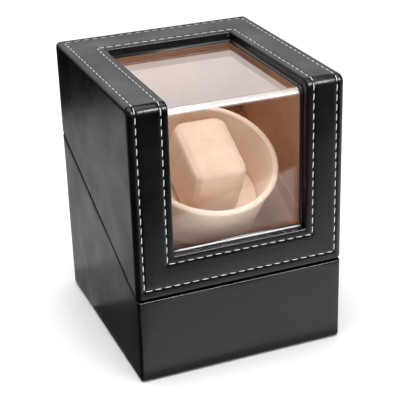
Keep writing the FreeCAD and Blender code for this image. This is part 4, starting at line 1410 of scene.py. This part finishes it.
@dataclass
class WatchCushion:
    """The padded cushion that a watch is buckled round: a suede cover, two sewn side panels.

    Attributes:
        shelf: where its finish comes from.
        shrink: how much smaller than its space the cover is cut, so that it can swell.
        voxel: mesh size of the cover while it swells.
        most: how far any point may move while it swells.
        frames: how many steps the swelling takes.
        corner_r: how far its edges are rounded before it swells.
        seam_inset: from the cushion's end to its side seam.
        seam_depth: how deep the seam is drawn in.
        seam_reach: half the width of the hollow along the seam.
        crease_depth: depth of the small creases in the suede.
        fill: how tightly it is stuffed, from 0 to 1; not used.
    """

    shelf: FinishShelf
    shrink: float = 1.6 * MM
    voxel: float = 3.2 * MM
    most: float = 3.0 * MM
    frames: int = 20
    corner_r: float = 7.0 * MM
    seam_inset: float = 3.2 * MM
    seam_depth: float = 0.7 * MM
    seam_reach: float = 1.1 * MM
    crease_depth: float = 0.22 * MM
    fill: float = 0.75

    def __post_init__(self) -> None:
        """Finds the cushion's own axes and size from its CAD solid."""
        joints = {j["name"]: j for j in frame["joints"]}
        self.up = Vector(joints["cushion_lift"]["axis"]).normalized()
        self.side = Vector((1, 0, 0))
        self.long = self.up.cross(self.side).normalized()
        node = frame["nodes"]["cushion"]
        points = [v.co for v in node.data.vertices]
        spans = [[p.dot(axis) for p in points] for axis in (self.side, self.long, self.up)]
        self.size = Vector([max(s) - min(s) for s in spans])
        middle = [(max(s) + min(s)) / 2 for s in spans]
        self.centre = self.side * middle[0] + self.long * middle[1] + self.up * middle[2]

    def place(self) -> Matrix:
        """Gives the turn and shift from the cushion's own axes to the box's.

        Returns:
            The matrix.
        """
        turn = Matrix((self.side, self.long, self.up)).transposed().to_4x4()
        return Matrix.Translation(self.centre) @ turn

    def build(self) -> bpy.types.Object:
        """Builds the cushion: a soft block, swollen as cloth, with its seams drawn in.

        Returns:
            The cushion's cover.
        """
        mesh = bpy.data.meshes.new("watch_cushion")
        form = bmesh.new()
        bmesh.ops.create_cube(form, size=1.0)
        scale = self.size - Vector((self.shrink, self.shrink, self.shrink)) * 2
        bmesh.ops.scale(form, vec=scale, verts=form.verts)
        bmesh.ops.bevel(form, geom=list(form.edges), offset=self.corner_r, segments=5, profile=0.6,
                        affect="EDGES")
        form.to_mesh(mesh)
        form.free()
        cover = bpy.data.objects.new("watch_cushion", mesh)
        bpy.context.scene.collection.objects.link(cover)
        remesh = cover.modifiers.new("weave", "REMESH")
        remesh.mode = "VOXEL"
        remesh.voxel_size = self.voxel
        apply_modifiers(cover)
        self._swell(cover)
        smooth = cover.modifiers.new("ease", "SMOOTH")
        smooth.factor = 0.5
        smooth.iterations = 4
        finer = cover.modifiers.new("finer", "SUBSURF")
        finer.levels = finer.render_levels = 2
        apply_modifiers(cover)
        self._draw_in_seams(cover)
        cover.data.polygons.foreach_set("use_smooth", [True] * len(cover.data.polygons))
        cover.data.transform(self.place())
        finish_piece(cover, Body.CUSHION, "cream_suede", self.shelf, ["cushion"])
        return cover

    def _swell(self, cover: bpy.types.Object) -> None:
        """Swells the cover by cloth pressure and keeps each point near where it began.

        Args:
            cover: the cushion's cover in its own axes.
        """
        before = [v.co.copy() for v in cover.data.vertices]
        cloth = cover.modifiers.new("swell", "CLOTH")
        cloth.settings.use_pressure = True
        cloth.settings.uniform_pressure_force = 4.0
        cloth.settings.effector_weights.gravity = 0.0
        cloth.settings.quality = 6
        cloth.point_cache.frame_start = 1
        cloth.point_cache.frame_end = self.frames
        scene = bpy.context.scene
        for number in range(1, self.frames + 1):
            scene.frame_set(number)
        apply_modifiers(cover)
        scene.frame_set(1)
        for vertex, start in zip(cover.data.vertices, before):
            move = vertex.co - start
            if move.length > self.most:
                vertex.co = start + move.normalized() * self.most

    def _draw_in_seams(self, cover: bpy.types.Object) -> None:
        """Pulls the cover in along the two side seams and lays small folds across them.

        Args:
            cover: the swollen cover in its own axes.
        """
        half = max(abs(v.co.x) for v in cover.data.vertices)
        seam_x = half - self.seam_inset
        normals = [v.normal.copy() for v in cover.data.vertices]
        for vertex, normal in zip(cover.data.vertices, normals):
            p = vertex.co
            off = (abs(p.x) - seam_x) / self.seam_reach
            round_way = math.atan2(p.z, p.y)
            fold = 0.75 + 0.25 * math.sin(round_way * 46 + 2.2 * noise.noise(p * 90))
            facing = max(0.0, 1.0 - abs(normal.x))
            vertex.co = p - normal * (self.seam_depth * fold * facing * math.exp(-off * off))
            crease = noise.noise(Vector((p.x * 70, p.y * 45, p.z * 45)))
            vertex.co += normal * (self.crease_depth * crease)


# ---- Pieces that keep their CAD shape ------------------------------------------------------


class CadPieces:
    """Gives every remaining CAD node the finish of its material slot."""

    def __init__(self, shelf: FinishShelf) -> None:
        """Keeps the shelf that finishes come from."""
        self.shelf = shelf

    def dress(self) -> None:
        """Sets each node's material and logs it."""
        for part in frame["record"]["subparts"]:
            node = frame["nodes"][part["node"]]
            material = self.shelf.get(part["material_slot"])
            if not node.data.materials:
                node.data.materials.append(material)
            for k in range(len(node.data.materials)):
                node.data.materials[k] = material
            node.visible_shadow = part["material_slot"] != "clear_acrylic"
            LOG.info("%s: %s", part["node"], material.name)


# ---- Studio --------------------------------------------------------------------------------


@dataclass
class Studio:
    """Pale floor, soft boxes and the camera.

    Attributes:
        azimuth: how far the camera stands round from the front, in degrees.
        elevation: how high it stands, in degrees.
        roll: how far it is turned about its own axis, in degrees.
        distance: from the box's middle to the camera.
        aim_right: how far to the right of the middle it stands and aims.
        aim_up: how far above it.
        lens: its focal length in millimetres, for a sensor 36 mm wide.
        bright_end: where the bright part of the table ends, from the box's middle to the camera.
        table_end: where the white table ends, measured the same way.
        dark_end: where the dark beyond it ends.
        card_lift: how far the cards lie above the floor.
    """

    azimuth: float = -21.3091
    elevation: float = 24.4515
    roll: float = -1.8195
    distance: float = 0.7363
    aim_right: float = 0.0019459
    aim_up: float = -0.0074342
    lens: float = 106.327
    bright_end: float = 0.158
    table_end: float = 0.228
    dark_end: float = 3.5
    card_lift: float = 0.5 * MM

    def build_floor(self) -> None:
        """Lays a large pale floor and the cards that shiny faces mirror."""
        floor = make_object("floor", [(-4, -4, 0), (4, -4, 0), (4, 4, 0), (-4, 4, 0)], [(0, 1, 2, 3)])
        material, tree = new_material("pale_floor")
        paper = add_node(tree, "ShaderNodeBsdfDiffuse", {"Color": linear("#f4f4f4")})
        close_material(tree, paper)
        floor.data.materials.append(material)
        self._build_cards()

    def _build_cards(self) -> None:
        """Lays a bright card before the box, and black ones where the white table ends."""
        a = math.radians(self.azimuth)
        right = Vector((math.cos(a), math.sin(a), 0))
        back = Vector((math.sin(a), -math.cos(a), 0))
        middle, near, far = (back * end for end in (self.bright_end, self.table_end, self.dark_end))
        self._card("dark_card", [near - right * 3, near + right * 3, far + right * 3, far - right * 3], 0.0)
        turn = Vector((-0.020, -0.162, 0))
        self._card("bright_card", [Vector((-0.072, -0.078, 0)), Vector((0.40, -0.078, 0)),
                                   middle + right * 0.5, turn], 2.7)
        self._card("mid_card", [turn, middle + right * 0.5, near + right * 0.5,
                                Vector((0.042, -0.261, 0))], 1.4)
        left, far_left = CAD_LOW.x - 0.2 * MM, -1.5
        strips = (("foot_card", -0.35, 0.03, 0.1), ("dusk_card", 0.03, 0.085, 0.46),
                  ("grey_card", 0.085, 0.385, 0.76), ("left_card", 0.385, 2.0, 0.0))
        for name, y0, y1, glow in strips:
            corners = ((far_left, y0), (left, y0), (left, y1), (far_left, y1))
            self._card(name, [Vector((x, y, 0)) for x, y in corners], glow)

    def _card(self, name: str, corners: list[Vector], glow: float) -> None:
        """Lays a card on the floor that only shiny faces can see.

        Args:
            name: the card's name.
            corners: its four corners.
            glow: its radiance, 0 for a black card.
        """
        card = make_object(name, [c + Vector((0, 0, self.card_lift)) for c in corners], [(0, 1, 2, 3)])
        material, tree = new_material(name)
        close_material(tree, add_node(tree, "ShaderNodeEmission", {"Strength": glow}))
        card.data.materials.append(material)
        card.visible_camera = False
        card.visible_diffuse = False
        card.visible_shadow = False
        card.visible_transmission = False

    def build_world(self) -> None:
        """Sets an even pale surround."""
        world = bpy.data.worlds.new("surround")
        bpy.context.scene.world = world
        world.use_nodes = True
        tree = world.node_tree
        tree.nodes.clear()
        sky = add_node(tree, "ShaderNodeBackground", {"Color": linear("#ffffff"), "Strength": 0.22})
        add_node(tree, "ShaderNodeOutputWorld", links={"Surface": sky.outputs[0]})

    def soft_box(self, name: str, place: tuple, aim: tuple, size: tuple, glow: float,
                 fills: bool = True, shines: bool = True) -> None:
        """Adds a soft box that isn't seen directly.

        Args:
            name: the light's name.
            place: where it is, in metres.
            aim: the point it faces.
            size: width and height in metres.
            glow: its brightness, as radiance.
            fills: whether it lights matt faces.
            shines: whether shiny faces mirror it.
        """
        data = bpy.data.lights.new(name, "AREA")
        data.shape = "RECTANGLE"
        data.size, data.size_y = size
        data.energy = glow * math.pi * size[0] * size[1]
        light = bpy.data.objects.new(name, data)
        light.location = place
        light.rotation_euler = (Vector(aim) - Vector(place)).to_track_quat("-Z", "Y").to_euler()
        light.visible_camera = False
        light.visible_diffuse = fills
        light.visible_glossy = shines
        bpy.context.scene.collection.objects.link(light)

    def build_lights(self) -> None:
        """Sets the soft boxes and a broad even light from above for the floor."""
        centre = (0, 0, 0.09)
        self.soft_box("overhead", (-0.1, -0.1, 1.3), centre, (1.1, 1.1), 3.2)
        self.soft_box("backdrop", (0.30, 1.45, 0.86), (0, 0, 0.17), (3.0, 0.62), 1.5)
        self.soft_box("left_fill", (-1.3, -0.5, 0.8), centre, (0.9, 0.9), 0.35)
        self.soft_box("front_fill", (0.38, -1.1, 1.2), centre, (0.9, 0.36), 3.2)
        self.soft_box("low_fill", (0.05, -1.2, 0.24), centre, (1.2, 0.4), 3.4, shines=False)
        self.soft_box("rim_strip", (0.42, -0.95, 0.86), (0, -0.07, 0.06), (0.7, 0.10), 150.0, fills=False)
        data = bpy.data.lights.new("ceiling", "SUN")
        data.energy = 1.3
        data.angle = math.radians(50)
        light = bpy.data.objects.new("ceiling", data)
        bpy.context.scene.collection.objects.link(light)

    def build_camera(self) -> None:
        """Places the camera and makes it the scene's."""
        a, e, r = (math.radians(v) for v in (self.azimuth, self.elevation, self.roll))
        back = Vector((math.sin(a) * math.cos(e), -math.cos(a) * math.cos(e), math.sin(e)))
        right = Vector((math.cos(a), math.sin(a), 0))
        up = back.cross(right)
        rolled_right = right * math.cos(r) + up * math.sin(r)
        rolled_up = up * math.cos(r) - right * math.sin(r)
        middle = Vector((0, 0, CAD_HIGH.z / 2))
        place = middle + back * self.distance + right * self.aim_right + up * self.aim_up
        data = bpy.data.cameras.new("camera")
        data.lens = self.lens
        data.sensor_width = 36.0
        data.clip_start, data.clip_end = 0.01, 50.0
        camera = bpy.data.objects.new("camera", data)
        turn = Matrix((rolled_right, rolled_up, back)).transposed().to_4x4()
        camera.matrix_world = Matrix.Translation(place) @ turn
        bpy.context.scene.collection.objects.link(camera)
        bpy.context.scene.camera = camera

    def build(self) -> None:
        """Builds the whole studio."""
        self.build_camera()
        self.build_floor()
        self.build_world()
        self.build_lights()
        settings = bpy.context.scene.view_settings
        settings.view_transform = "Standard"
        settings.look = "None"


def main() -> None:
    """Builds the studio, then every piece in order."""
    logging.basicConfig(level=logging.INFO, format="%(message)s")
    shelf = FinishShelf()
    Studio().build()
    CadPieces(shelf).dress()
    BaseCover(shelf).build()
    LidCover(shelf).build()
    WatchCushion(shelf).build()


if __name__ == "__main__":
    main()
